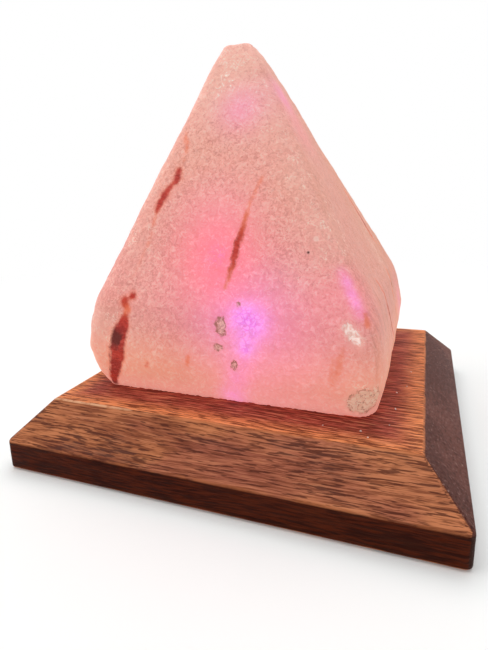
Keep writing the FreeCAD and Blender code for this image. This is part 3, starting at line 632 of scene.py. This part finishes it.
# ---- Lamp holder and diode board -----------------------------------------------------------------
# The white moulded tower that stands up into the crystal. Its board carries three diodes, with chip
# resistors between their leads on the underside.
white_moulding = moulded_plastic("white_moulding", (0.8, 0.8, 0.77), (0.72, 0.72, 0.69), 0.4, 0.04 * mm)
refinish("lamp_holder", white_moulding)
refinish("led_board", board_sheet)
refinish("led_leads", plated_steel("tinned_wire", (0.72, 0.72, 0.7), 0.34))
chip_body = moulded_plastic("chip_body", (0.012, 0.012, 0.013), (0.03, 0.03, 0.03), 0.25, 0.02 * mm)
refinish("resistors", chip_body)

# ---- Diodes --------------------------------------------------------------------------------------
# Three colour-changing diodes in clear resin that run out of step, so each has a colour of its own.
# The chip glows in the middle, and the round end gathers its light.
diode_colours = {
    "led_left": (1.0, 0.1, 0.1),
    "led_right": (0.62, 0.1, 1.0),
    "led_back": (1.0, 0.16, 0.36),
}


def lit_resin(name, colour, low, high):
    """Clear resin, glowing brighter and paler towards its round end."""
    material, shader, place = empty_finish(name)
    share = between(part_of(place, 2), low.z, high.z)
    swirl = cloud(place, 700)
    pale = tuple(0.45 + 0.55 * part for part in colour)
    join(shader, Base_Color=blend(swirl, tuple(0.5 + 0.4 * part for part in colour), pale))
    join(shader, Emission_Color=blend(share, colour, pale))
    glow = times(between(share, 0.05, 0.9, 0.6, 5), between(swirl, 0.2, 0.8, 0.8, 1.2))
    join(shader, Emission_Strength=glow)
    set_plain(shader, Roughness=0.12, IOR=1.53)
    return material


for node, colour in diode_colours.items():
    refinish(node, lit_resin(node + "_resin", colour, *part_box(node)))

# ---- Clear dome ----------------------------------------------------------------------------------
# A thin moulded dome of clear plastic that snaps into the tower and keeps salt off the diodes. A fine
# frosting inside spreads their light.


def clear_moulding():
    material, shader, place = empty_finish("clear_moulding")
    frosting = cloud(place, 1900)
    dust = cloud(place, 420, 5, 0.65)
    join(shader, Base_Color=blend(dust, (0.96, 0.97, 0.98), (0.86, 0.84, 0.85)))
    join(shader, Roughness=between(dust, 0.35, 0.75, 0.1, 0.42))
    set_plain(shader, Transmission_Weight=0.92, IOR=1.5)
    roughen(shader, frosting, 0.2, 0.03 * mm)
    return material


refinish("lens_dome", clear_moulding())

# ---- Salt crystal --------------------------------------------------------------------------------
# One piece of pink rock salt, sawn and ground by hand to a blunt pyramid and drilled from below. It
# stands loose on the base. Its faces are slightly wavy and sugary, its ridges are worn round, and its
# foot is chipped. Red clay runs through it in veins, and the diodes' light gathers where it is thinnest.
salt_low, salt_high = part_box("salt_crystal")
salt_grid = 0.55 * mm
hole_radius = 15 * mm
hole_top = 49 * mm

# The soft right front ridge runs from near the tip down to the foot.
soft_ridge = (Vector((2.4, -9.2, 89)) * mm, Vector((31, -32.4, 38.4)) * mm, Vector((31.6, -31, 16)) * mm)
soft_ridge_top = 90 * mm
soft_ridge_reach = 11 * mm

# Passes of wear over the whole surface and over the soft ridge. Waves, each with its height and how close
# they come, the long ones first. How far up and how deep the foot is chipped. How ragged a pit's rim is,
# how far off a pit or a vein still counts, and what counts as no vein. Lengths are in millimetres.
worn_all_over = 6
worn_ridge = 60
long_waves = (0.28, 0.075)
short_waves = ((0.12, 0.33), (0.055, 0.9), (0.035, 1.8))
chipped_height = 1.4
chip_depth = 0.9
pit_raggedness = 0.45
pit_zone = 5
vein_zone = 14
no_vein = -4.0

# Pits and flakes on the faces: middle, reach across, reach upwards, depth. The first ones hold dirt.
dirty_pits = (
    ((-0.8, -33, 34.4), 1.25, 1.9, 0.3),
    ((-1.5, -33.3, 29.8), 1.05, 0.8, 0.28),
    ((2.2, -33.3, 26), 0.75, 1.1, 0.26),
    ((3.1, -32.1, 39.5), 0.5, 0.6, 0.2),
)
pits = dirty_pits + (
    ((26.2, -32.6, 36), 1.0, 1.4, 0.5),
    ((27.8, -32.8, 33.8), 1.3, 1.1, 0.55),
    ((30.2, -31.9, 20.4), 2.6, 2.4, 0.8),
    ((32.6, 13, 36), 1.6, 1.2, 0.4),
    ((-31, 22, 42), 1.4, 2, 0.4),
    ((-8, 38, 40), 1.8, 1.5, 0.45),
    ((14, 32, 50), 1.0, 1.3, 0.35),
)

# Veins of red clay: points, with the half width and the depth of colour at each, from orange to black.
clay_veins = (
    ((-23.2, -31.9, 40, 0.85, 0.58), (-23.8, -32.2, 39.2, 0.5, 0.46)),
    ((-25.2, -32.5, 38.9, 1.05, 0.52), (-24.9, -32.7, 37.9, 1.0, 0.46), (-24.1, -32.9, 36.9, 0.8, 0.34)),
    ((-24.9, -32.9, 36.6, 0.5, 0.3), (-25, -33, 35.4, 0.95, 0.48), (-25.4, -33.1, 33.6, 1.45, 0.6),
     (-26.4, -33.2, 31.9, 1.65, 0.74), (-27.4, -33.3, 30.2, 1.9, 1.02), (-27.9, -33.3, 28.6, 1.7, 1.02),
     (-28.6, -33.3, 26.8, 1.3, 0.78)),
    ((-25.9, -33.3, 30.4, 0.75, 0.66), (-26.9, -33.2, 27.6, 1.1, 0.7), (-28, -33.2, 25.6, 1.9, 0.56),
     (-29.1, -32.7, 23, 1.75, 0.72), (-29.9, -32.2, 20.9, 1.45, 0.76), (-31, -31.3, 18.4, 1.15, 0.5),
     (-31.2, -30.8, 16.8, 0.9, 0.85)),
    ((-30, -33.3, 27, 0.36, 0.85), (-30.7, -32.8, 23.6, 0.34, 0.8), (-31.4, -32.1, 20.4, 0.3, 0.75)),
    ((-15.6, -15.2, 77.1, 0.2, 0.26), (-14.9, -16.1, 74.9, 0.42, 0.3), (-14.6, -17.1, 72.8, 0.34, 0.28),
     (-15, -18.3, 70.1, 0.16, 0.16)),
    ((-15.7, -19.1, 68.2, 0.62, 0.64), (-15.9, -19.8, 66.7, 0.92, 0.68), (-16, -20.3, 65.5, 0.7, 0.64)),
    ((-16.7, -20.4, 65.3, 0.3, 0.48), (-17.7, -21, 64.1, 0.66, 0.6), (-18.6, -21.6, 62.6, 0.98, 0.64),
     (-19.4, -22.4, 61, 0.86, 0.64), (-20, -23.2, 59.2, 0.52, 0.56), (-20.2, -23.7, 58.1, 0.26, 0.4),
     (-20.6, -25, 54.6, 0.14, 0.18), (-21, -26.6, 51.7, 0.18, 0.22), (-22.1, -27.7, 49.3, 0.14, 0.18),
     (-23.9, -30.1, 44.1, 0.12, 0.12)),
    ((5.1, -20.2, 65.7, 0.36, 0.2), (3.4, -22.3, 61.2, 0.38, 0.26), (2.3, -24.4, 56.5, 0.5, 0.38),
     (1.8, -25.5, 54, 0.74, 0.5), (1.3, -26.5, 51.9, 0.9, 0.56), (0.9, -27.7, 49.2, 0.9, 0.56),
     (0.5, -28.8, 46.9, 0.76, 0.48), (0.2, -29.7, 44.8, 0.58, 0.38), (-0.4, -30.7, 42.6, 0.34, 0.24)),
    ((-8.8, -33.4, 26.6, 0.5, 0.34), (-9.4, -33.1, 24.8, 0.5, 0.3)),
    ((25.4, -33.2, 31.8, 0.4, 0.16), (25, -33.3, 28.8, 0.8, 0.22), (24.2, -33.1, 25.2, 0.55, 0.18)),
    ((23.6, -33.3, 29.4, 0.4, 0.14), (23.4, -33, 23.6, 0.5, 0.16)),
    ((29.4, -29.8, 38.2, 0.55, 0.26), (29.8, -30.6, 36.4, 0.7, 0.28)),
    ((-20, -32.9, 24.2, 0.3, 0.62), (-20.4, -32.8, 23.2, 0.24, 0.6)),
    ((30.4, 13, 41, 0.55, 0.3), (32.4, 11, 33, 0.7, 0.34), (33.2, 11.5, 25, 0.6, 0.28)),
    ((29.8, -10, 42, 0.5, 0.35), (33, -6, 31, 0.8, 0.55), (32.8, -3, 21, 0.6, 0.45)),
    ((18, 14, 62, 0.4, 0.3), (23, 17, 53, 0.7, 0.55), (26.5, 20, 47, 0.3, 0.3)),
    ((-8, 24, 62, 0.4, 0.4), (-12, 31, 50, 0.9, 0.62), (-15, 37, 40, 1.2, 0.7),
     (-17, 41, 26, 0.6, 0.5)),
    ((10, 39.5, 37, 0.4, 0.35), (12, 41.5, 27, 0.7, 0.5)),
    ((-35, 4, 40, 0.6, 0.45), (-37.6, 8, 28, 1.1, 0.66), (-37, 10, 19, 0.7, 0.5)),
    ((-24.5, 2, 62, 0.3, 0.25), (-30, 5, 51, 0.6, 0.45)),
)

# Where the light comes through and the colour it shows there: middle, reach, colour, strength.
violet = (1.08, 0.4, 1.18)
orchid = (0.98, 0.3, 0.74)
magenta = (0.9, 0.24, 0.52)
rose = (0.91, 0.265, 0.345)
red = (1.0, 0.2, 0.28)
glow_spots = (
    ((5.2, -31.8, 36), 11, magenta, 0.6),
    ((6, -32, 26), 11, rose, 0.42),
    ((18, -31.5, 28), 10, rose, 0.26),
    ((3.8, -33, 26.4), 3.4, magenta, 0.5),
    ((2.6, -32.4, 22.4), 3, magenta, 0.55),
    ((1.1, -31, 17.6), 3, magenta, 0.8),
    ((5.2, -32.8, 35.4), 4.7, violet, 0.5),
    ((6.2, -33, 35.8), 3.4, violet, 0.8),
    ((3.8, -32.6, 37.4), 2.2, violet, 0.5),
    ((5, -33.2, 30.2), 2.4, violet, 0.72),
    ((-3.3, -27.6, 49.6), 8.6, red, 0.8),
    ((-1.0, -29.8, 43.6), 7, red, 0.36),
    ((-4, -24.6, 57), 9, rose, 0.4),
    ((-10, -30, 40), 9, rose, 0.22),
    ((16, -31.5, 36), 9, rose, 0.2),
    ((24.4, -27.5, 46.2), 1.4, magenta, 0.4),
    ((25.4, -28.2, 44.4), 1.4, orchid, 0.64),
    ((26.4, -29, 42.4), 1.4, orchid, 0.68),
    ((27.4, -29.7, 40.6), 1.4, orchid, 0.62),
    ((28.4, -30.5, 38.8), 1.6, magenta, 0.5),
    ((25, -29, 41), 6.5, rose, 0.42),
    ((-2, -13, 81.6), 5.5, magenta, 0.4),
    ((5.4, -4.4, 84.4), 4.4, magenta, 0.45),
    ((9, -5, 77), 7, rose, 0.3),
    ((33, 25, 30), 9, rose, 0.25),
    ((33.5, 27, 28), 4, magenta, 0.3),
    ((0.0, 41, 33), 13, red, 0.55),
    ((2, 41.5, 34), 5.5, magenta, 0.8),
    ((-37, 4, 32), 12, red, 0.6),
    ((-37.6, 2, 31), 5, magenta, 0.6),
)

# Where the salt is paler and sugary, and above one half white and crumbly: middle, reach, strength.
sugary_spots = (
    ((26, -32.6, 36.2), 1.3, 1.15),
    ((27.2, -32.8, 34.6), 1.4, 1.05),
    ((28.4, -32.8, 33.2), 1.3, 0.72),
    ((30.4, -31.8, 20.4), 3.3, 1.3),
    ((28.2, -31.5, 19), 2.4, 0.7),
    ((-0.8, -33.2, 34.4), 1.3, 0.5),
    ((-1.5, -33.4, 29.8), 1.0, 0.55),
    ((2.2, -33.4, 26), 0.9, 0.5),
    ((-5, -8.5, 93), 8, 0.52),
    ((-9.2, -11.7, 85.5), 6.5, 0.4),
    ((-20, -21, 62), 6, 0.22),
    ((-24, -26, 52), 7, 0.3),
    ((-33, -32.5, 33), 6, 0.42),
    ((-22, -33, 30), 9, 0.2),
    ((2, -12, 84), 6, 0.3),
    ((7.5, -15.1, 76.3), 6, 0.38),
    ((12.5, -19.5, 66), 6.5, 0.42),
    ((19.5, -22.5, 56), 7, 0.46),
    ((22.6, -26.6, 49), 5, 0.32),
    ((14, -29, 45), 6, 0.22),
    ((29, 12, 48), 9, 0.35),
    ((33, -24, 26), 7, 0.35),
    ((20, 22, 60), 9, 0.3),
    ((-20, 25, 52), 10, 0.3),
    ((0.0, 38, 46), 8, 0.25),
)


def fall_off(distance, reach):
    """1 at the middle, fading like a bell."""
    return math.exp(-(distance / reach) ** 2)


def inside_pit(spot, pit):
    """How far inside a pit's rim a point is, in millimetres."""
    middle, across, upright = pit[:3]
    away = spot - Vector(middle)
    reach = math.sqrt((away.x / across) ** 2 + (away.y / across) ** 2 + (away.z / upright) ** 2)
    ragged = 1 + pit_raggedness * noise.noise(spot * 0.9)
    return (1 - reach * ragged) * min(across, upright)


def surface_push(spot):
    """How far the sawn face is pushed out at a point, by waves, pits and chips, all in millimetres."""
    height, pitch = long_waves
    push = height * noise.noise(spot * pitch + Vector((3, 1, 7)))
    for height, pitch in short_waves:
        push += height * noise.noise(spot * pitch)
    for pit in pits:
        middle, across, upright, depth = pit
        if (spot - Vector(middle)).length < pit_zone:
            push -= depth * max(0.0, inside_pit(spot, pit) / min(across, upright)) ** 0.5
    low = max(0.0, 1 - (spot.z - salt_low.z / mm) / chipped_height)
    chips = max(0.0, noise.noise(spot * 0.9 + Vector((9, 4, 2))) - 0.05)
    chips += 0.4 * max(0.0, noise.noise(spot * 2.3))
    return push - chip_depth * low * chips


def cut_salt():
    """The crystal's surface on a fine grid, worn, waved, pitted and chipped."""
    rough_cut = welded_copy("salt_crystal", "cut_salt")
    grid = rough_cut.modifiers.new("grid", "REMESH")
    grid.mode = "VOXEL"
    grid.voxel_size = salt_grid
    settle(rough_cut)
    foot = salt_low.z + 0.05 * mm

    def drilled(spot):
        return math.hypot(spot.x, spot.y) < hole_radius + 0.5 * mm and spot.z < hole_top

    def from_ridge(spot):
        near = 1.0
        for start, end in zip(soft_ridge, soft_ridge[1:]):
            closest, share = geometry.intersect_point_line(spot, start, end)
            closest = start if share < 0 else end if share > 1 else closest
            near = min(near, (spot - closest).length)
        return near

    def wear(points, passes):
        for _ in range(passes):
            bmesh.ops.smooth_vert(
                work, verts=points, factor=0.5, use_axis_x=True, use_axis_y=True, use_axis_z=True
            )

    with reshaped(rough_cut.data) as work:
        outside = [vertex for vertex in work.verts if vertex.co.z > foot and not drilled(vertex.co)]
        wear(outside, worn_all_over)
        on_ridge = [vertex for vertex in outside if foot + 1 * mm < vertex.co.z < soft_ridge_top]
        wear([vertex for vertex in on_ridge if from_ridge(vertex.co) < soft_ridge_reach], worn_ridge)
        work.normal_update()
        for vertex in outside:
            vertex.co += vertex.normal * (surface_push(vertex.co / mm) * mm)
            vertex.co.z = min(max(vertex.co.z, salt_low.z + 0.02 * mm), salt_high.z)
        for face in work.faces:
            face.smooth = True
    return rough_cut


def mark_salt(piece):
    """Stores at each point how far inside a vein and a pit it is, and its clay, glow and sugariness."""
    veins, depths, hollows, glows, shares, sugar = [], [], [], [], [], []
    strokes = []
    for vein in clay_veins:
        for (*start, wide, deep), (*end, wide_end, deep_end) in zip(vein, vein[1:]):
            strokes.append((Vector(start), Vector(end), wide, wide_end, deep, deep_end))
    for vertex in piece.data.vertices:
        spot = vertex.co / mm
        best, deep_here = no_vein, 0.0
        for start, end, wide, wide_end, deep, deep_end in strokes:
            if min((spot - start).length, (spot - end).length) > vein_zone:
                continue
            closest, share = geometry.intersect_point_line(spot, start, end)
            share = min(1.0, max(0.0, share))
            closest = start.lerp(end, share)
            inside = wide + (wide_end - wide) * share - (spot - closest).length
            if inside > best:
                best, deep_here = inside, deep + (deep_end - deep) * share
        veins.append(best)
        depths.append(deep_here)
        hollows.append(max(inside_pit(spot, pit) for pit in dirty_pits))
        shown, colour, total = 1.0, Vector((0, 0, 0)), 0.0
        for middle, reach, tint, strength in glow_spots:
            part = strength * fall_off((spot - Vector(middle)).length, reach)
            shown *= 1 - part
            weight = part ** 1.5
            colour += Vector(tint) * weight
            total += weight
        glows.extend((*(colour / max(total, 1e-9)), 1.0))
        shares.append(1 - shown)
        sugar.append(sum(whiteness * fall_off((spot - Vector(middle)).length, reach)
                         for middle, reach, whiteness in sugary_spots))
    marks = {"vein": veins, "vein_depth": depths, "pit": hollows, "glow_share": shares, "sugar": sugar}
    for name, values in marks.items():
        piece.data.attributes.new(name, "FLOAT", "POINT").data.foreach_set("value", values)
    piece.data.attributes.new("glow", "FLOAT_COLOR", "POINT").data.foreach_set("color", glows)


def rock_salt():
    material, shader, place = empty_finish("rock_salt")
    tree = place.id_data
    rearward, height = part_of(place, 1), part_of(place, 2)

    def stored(name, output=2):
        return add(tree, "ShaderNodeAttribute", output=output, attribute_name=name)

    # Cloudy pink and peach, mottled paler and darker at every size down to the grain.
    clouds = cloud(place, 60, 4, 0.6)
    peach = cloud(place, 26, 2)
    mottle = cloud(place, 560, 4, 0.62, 1.6)
    grain = cloud(place, 1150, 4, 0.65, 1.2)
    low = between(height, 36 * mm, 22 * mm)
    grainy = between(height, 24 * mm, 52 * mm, 0.55, 1)
    body = coated(
        (0.74, 0.315, 0.275),
        ((0.72, 0.345, 0.255), peach, 0.38, 0.62),
        ((0.78, 0.43, 0.36), clouds, 0.4, 0.7, 0.45),
        ((0.64, 0.225, 0.2), clouds, 0.46, 0.24, 0.35),
        ((0.68, 0.235, 0.235), height, 66 * mm, 46 * mm, 0.4),
        ((0.7, 0.33, 0.215), times(low, 0.5)),
        ((0.86, 0.54, 0.5), height, 58 * mm, 90 * mm, 0.35),
        ((0.86, 0.55, 0.47), mottle, 0.52, 0.64, 0.55),
        ((0.58, 0.205, 0.17), mottle, 0.48, 0.36, 0.46),
        ((0.92, 0.68, 0.6), times(between(grain, 0.53, 0.67, 0, 0.5), grainy)),
        ((0.5, 0.175, 0.145), times(between(grain, 0.47, 0.35, 0, 0.46), grainy)),
    )

    # The right face is sawn: fine stripes down its slope near the foot, and a greyer, drier colour.
    sawn_face = between(part_of(own_facing(tree), 0), 0.55, 0.85)
    stripes = cloud(stretched(place, (0.1, 1, 0.1)), 620, 3, 0.6)
    saw_marks = times(sawn_face, between(height, 52 * mm, 34 * mm, 0.15, 1))
    tanned = times(sawn_face, between(rearward, -4 * mm, 22 * mm, 0, 0.6))
    body = coated(
        body,
        ((0.61, 0.275, 0.185), times(sawn_face, 0.6)),
        ((0.6, 0.29, 0.15), tanned),
        ((0.43, 0.17, 0.13), times(between(stripes, 0.48, 0.64, 0, 0.5), saw_marks)),
    )

    # Pale, with paler curls, where it is sugary. Crumbly, beige and white where it is chipped, and dirty
    # where the chip is low down.
    sugar = stored("sugar")
    curls = cloud(place, 700, 2)
    curls = sum_of("ABSOLUTE", sum_of("SUBTRACT", curls, 0.5))
    patchy = cloud(place, 330, 2)
    fleck = times(between(curls, 0.03, 0.008), between(patchy, 0.5, 0.58))
    fleck = times(fleck, between(sugar, 0.05, 0.35, 0.22, 0.75))
    ragged = sum_of("ADD", sugar, times(sum_of("SUBTRACT", mottle, 0.5), 1.2))
    frost = between(ragged, 0.58, 0.92)
    dirty = between(height, 30 * mm, 24 * mm)
    cracked = times(between(curls, 0.026, 0.006, 0, 0.75), dirty)
    crumbs = coated(
        (0.76, 0.56, 0.47),
        ((0.96, 0.85, 0.79), mottle, 0.4, 0.58),
        ((0.74, 0.47, 0.34), times(dirty, 0.65)),
        ((0.34, 0.17, 0.11), cracked),
    )
    outline = times(between(ragged, 0.46, 0.62), between(ragged, 0.84, 0.68))
    outline = times(outline, times(dirty, between(grain, 0.42, 0.58, 0, 0.85)))

    # A pit is gritty inside and rimmed with brown dirt.
    hollow = stored("pit")
    rim = times(between(hollow, -0.34, 0.04), between(hollow, 0.52, 0.12))
    rim = times(rim, between(grain, 0.56, 0.44, 0.3, 0.9))
    bare = between(hollow, 0, 0.4)
    gritty = coated((0.5, 0.25, 0.18), ((0.86, 0.59, 0.47), grain, 0.44, 0.56))

    # Clay: an orange stain round it, red inside, its edge ragged, its thickest place nearly black.
    fray = times(sum_of("SUBTRACT", cloud(place, 620, 5, 0.7), 0.5), 1.7)
    inside = sum_of("ADD", stored("vein"), fray)
    deep = stored("vein_depth")
    halo = times(between(inside, -1.2, 0.3), between(deep, 0.05, 0.6, 0.05, 0.5))
    clay = times(between(inside, -0.45, 0.55), between(deep, 0, 0.5, 0.1, 0.97))
    strand = cloud(stretched(place, (1, 1, 2.5)), 700, 3, 0.6)
    thick = between(deep, 0.4, 0.6)
    black_heart = between(deep, 0.74, 1)
    clay_colour = coated(
        (0.74, 0.17, 0.06),
        ((0.46, 0.024, 0.014), deep, 0.28, 0.58),
        ((0.27, 0.01, 0.01), deep, 0.58, 0.74),
        ((0.64, 0.09, 0.06), times(between(strand, 0.5, 0.62, 0, 0.45), thick)),
        ((0.16, 0.006, 0.005), times(between(strand, 0.46, 0.36, 0, 0.6), thick)),
        ((0.105, 0.002, 0.002), black_heart),
    )
    body = coated(
        body,
        ((0.8, 0.53, 0.42), sugar, 0.0, 0.7, 0.5),
        ((0.9, 0.72, 0.62), fleck),
        (crumbs, times(frost, 0.9)),
        ((0.47, 0.235, 0.15), outline),
        (gritty, times(bare, 0.85)),
        ((0.4, 0.15, 0.11), rim),
        ((0.76, 0.19, 0.095), halo),
        (clay_colour, clay),
    )

    # The light shows between fine internal cracks, which stay darker. Clay and pits stop most of it.
    warp = cloud(place, 420, output=1)
    warped = moved("ADD", place, moved("MULTIPLY", warp, (3 * mm, 3 * mm, 3 * mm)))
    cracks = add(
        tree, "ShaderNodeTexVoronoi", (("Vector", warped), ("Scale", 820)), feature="DISTANCE_TO_EDGE"
    )
    glow = stored("glow", output=0)
    share = stored("glow_share")
    lines = times(between(cracks, 0.17, 0.0), between(grain, 0.34, 0.6, 0.4, 1))
    lines = times(lines, between(share, 0.8, 0.97, 0, 0.8))
    open_share = share
    for cover, most in ((clay, 0.96), (rim, 0.9), (bare, 0.6)):
        open_share = times(open_share, rest_of(times(cover, most)))
    open_share = times(open_share, between(mottle, 0.34, 0.62, 0.86, 1.06), clamp=True)
    lit_face = coated(
        blend(1.0, glow, (0.66, 0.66, 0.66), "MULTIPLY"),
        ((0.8, 0.33, 0.56), grain, 0.52, 0.7, 0.4),
        ((0.5, 0.1, 0.44), lines),
    )

    # Two specks of iron lie in the face: a bare black one, and one in a pale ring.
    def from_speck(*spot):
        return moved("DISTANCE", place, tuple(part * mm for part in spot), 1)

    black_speck = between(from_speck(17.1, -27.4, 50.3), 0.5 * mm, 0.22 * mm)
    ringed = from_speck(18.5, -26, 53.1)
    ringed_speck = between(ringed, 0.5 * mm, 0.2 * mm, 0, 0.7)
    speck = sum_of("MAXIMUM", black_speck, ringed_speck)
    body = coated(
        body,
        (lit_face, open_share),
        ((0.88, 0.68, 0.6), ringed, 1.0 * mm, 0.7 * mm, 0.6),
        ((0.05, 0.008, 0.006), speck),
    )
    join(shader, Base_Color=body)

    # The light that leaves the surface: a faint one all over, more near the foot, most where it is thin.
    foot_light = between(height, 22.5 * mm, 16.5 * mm)
    inner = coated(
        (0.182, 0.056, 0.048),
        ((0.25, 0.094, 0.078), grain, 0.38, 0.64),
        ((0.37, 0.14, 0.09), low),
        ((0.52, 0.215, 0.175), foot_light),
    )
    light = blend(1.0, glow, (0.62, 0.62, 0.62), "MULTIPLY")
    light = blend(low, light, (0.1, 0.04, 0.05), "ADD")
    light = blend(foot_light, light, (0.12, 0.07, 0.1), "ADD")
    light = blend(lines, light, (0.3, 0.05, 0.3))
    light = blend(1.0, light, between(grain, 0.4, 0.62, 0.92, 1.16), "MULTIPLY")
    frost_light = coated(
        (0.22, 0.15, 0.125),
        ((0.47, 0.35, 0.31), mottle, 0.42, 0.56),
        ((0.32, 0.185, 0.125), dirty),
        ((0.07, 0.028, 0.018), cracked),
    )
    clay_light = coated(
        (0.24, 0.03, 0.01),
        ((0.1, 0.004, 0.002), deep, 0.25, 0.6),
        ((0.024, 0.0, 0.0), black_heart),
    )
    light = coated(
        inner,
        (light, open_share),
        ((0.13, 0.07, 0.05), times(bare, 0.6)),
        ((0.085, 0.026, 0.018), rim),
        (frost_light, times(frost, 0.85)),
        ((0.125, 0.055, 0.035), outline),
        (clay_light, times(clay, 0.96)),
        ((0.006, 0.001, 0.001), speck),
    )
    join(shader, Emission_Color=light)
    set_plain(shader, Emission_Strength=1.0, IOR=1.54, Specular_IOR_Level=0.18)
    set_plain(shader, Subsurface_Weight=0.25, Subsurface_Scale=2 * mm, Subsurface_Radius=(1.0, 0.45, 0.38))
    join(shader, Roughness=between(grain, 0.3, 0.7, 0.36, 0.6))
    relief = sum_of("ADD", grain, times(mottle, 2.2))
    relief = sum_of("ADD", relief, times(frost, grain))
    relief = sum_of("ADD", relief, times(times(stripes, saw_marks), 1.5))
    roughen(shader, relief, 0.7, 0.3 * mm)
    return material


salt = cut_salt()
mark_salt(salt)
salt.data.materials.clear()
salt.data.materials.append(rock_salt())
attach(salt, "crystal")
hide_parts("salt_crystal")

# ---- Salt crumbs ---------------------------------------------------------------------------------
# A few white grains of salt, broken off the crystal's foot, that lie loose on the wood in front of it
# and to its right.
crumb_places = (
    (35.4, -14.2, 0.17),
    (35.6, -23.3, 0.2),
    (31.3, -38, 0.15),
    (29.7, -35.8, 0.2),
    (38.1, 0.7, 0.15),
    (22.2, -35.6, 0.15),
    (34.8, -31.4, 0.15),
    (37.4, -9.6, 0.14),
)


def fallen_grains():
    """Small lumps with broken sides, each resting on the wood."""
    mesh = bpy.data.meshes.new("fallen_grains")
    with reshaped(mesh) as work:
        for number, (x, y, size) in enumerate(crumb_places):
            before = len(work.verts)
            bmesh.ops.create_icosphere(work, subdivisions=2, radius=size * mm)
            work.verts.ensure_lookup_table()
            lump = work.verts[before:]
            for vertex in lump:
                vertex.co *= 1 + 0.75 * noise.noise(vertex.co / mm * 5 + Vector((number * 3, 1, 5)))
                vertex.co.z *= 0.7
            lowest = min(vertex.co.z for vertex in lump)
            for vertex in lump:
                vertex.co += Vector((x * mm, y * mm, base_high.z - lowest - 0.01 * mm))
    return into_scene("fallen_grains", mesh)


def white_salt():
    material, shader, place = empty_finish("white_salt")
    grain = cloud(place, 2400, 3, 0.6)
    join(shader, Base_Color=coated((0.62, 0.45, 0.38), ((0.9, 0.84, 0.8), grain, 0.35, 0.65)))
    join(shader, Roughness=between(grain, 0.3, 0.7, 0.3, 0.55))
    set_plain(shader, IOR=1.54, Specular_IOR_Level=0.15)
    roughen(shader, grain, 0.6, 0.05 * mm)
    return material


grains = fallen_grains()
grains.data.materials.append(white_salt())
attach(grains, "base")

# ---- Floor and light -----------------------------------------------------------------------------
# A seamless white table under a large soft light from above and behind, with a weaker one from the left.
# The table glows faintly to meet the backdrop, and fades into it between two distances from the lamp.
floor_half = 6.0
table_lift = 0.1
table_fade = (110 * mm, 300 * mm)
sky_light = 0.45
floor_corners = [(x * floor_half, y * floor_half, 0) for x, y in ((-1, -1), (1, -1), (1, 1), (-1, 1))]
floor_mesh = bpy.data.meshes.new("floor")
floor_mesh.from_pydata(floor_corners, [], [(0, 1, 2, 3)])
floor = into_scene("floor", floor_mesh)


def seen_directly(tree):
    """1 for the rays that see the backdrop as it is: the camera's, and those through glass or off gloss."""
    path = tree.nodes.new("ShaderNodeLightPath")
    seen = sum_of("MAXIMUM", path.outputs["Is Camera Ray"], path.outputs["Is Transmission Ray"])
    return sum_of("MAXIMUM", seen, path.outputs["Is Glossy Ray"])


def white_table():
    """White laminate that keeps shadows near the lamp, and fades into the white backdrop further off."""
    material, shader, place = empty_finish("white_table")
    tree = place.id_data
    tone = cloud(place, 9, 2)
    join(shader, Base_Color=blend(tone, (0.86, 0.875, 0.875), (0.885, 0.9, 0.9)))
    set_plain(shader, Roughness=0.6, Specular_IOR_Level=0.2, Emission_Color=(1, 1, 1, 1))
    seen = seen_directly(tree)
    join(shader, Emission_Strength=times(seen, table_lift))
    backdrop_glow = tree.nodes.new("ShaderNodeEmission")
    away = moved("LENGTH", place, (0, 0, 0), 1)
    fade = times(between(away, *table_fade), seen)
    mixed = tree.nodes.new("ShaderNodeMixShader")
    tree.links.new(fade, mixed.inputs[0])
    tree.links.new(shader.outputs[0], mixed.inputs[1])
    tree.links.new(backdrop_glow.outputs[0], mixed.inputs[2])
    tree.links.new(mixed.outputs[0], tree.nodes["Material Output"].inputs[0])
    return material


floor.data.materials.append(white_table())

world = bpy.data.worlds.new("studio")
bpy.context.scene.world = world
world.use_nodes = True
sky = world.node_tree
backdrop = sky.nodes["Background"]
backdrop.inputs["Color"].default_value = (1.0, 1.0, 1.0, 1.0)
sky.links.new(between(seen_directly(sky), 0, 1.0, sky_light, 1), backdrop.inputs["Strength"])

lamps = (
    ("overhead", (-0.05, 0.18, 0.75), (0, 0, 0.03), 0.9, 4.6, (1.0, 0.985, 0.97)),
    ("left_fill", (-0.6, -0.35, 0.45), (0, 0, 0.04), 0.6, 1.6, (1.0, 0.97, 0.94)),
)
for name, place, aim, width, power, colour in lamps:
    lamp = into_scene(name, bpy.data.lights.new(name, "AREA"))
    lamp.data.size = width
    lamp.data.energy = power
    lamp.data.color = colour
    lamp.location = place
    lamp.rotation_euler = (Vector(aim) - Vector(place)).to_track_quat("-Z", "Y").to_euler()

bpy.context.scene.view_settings.view_transform = "Standard"
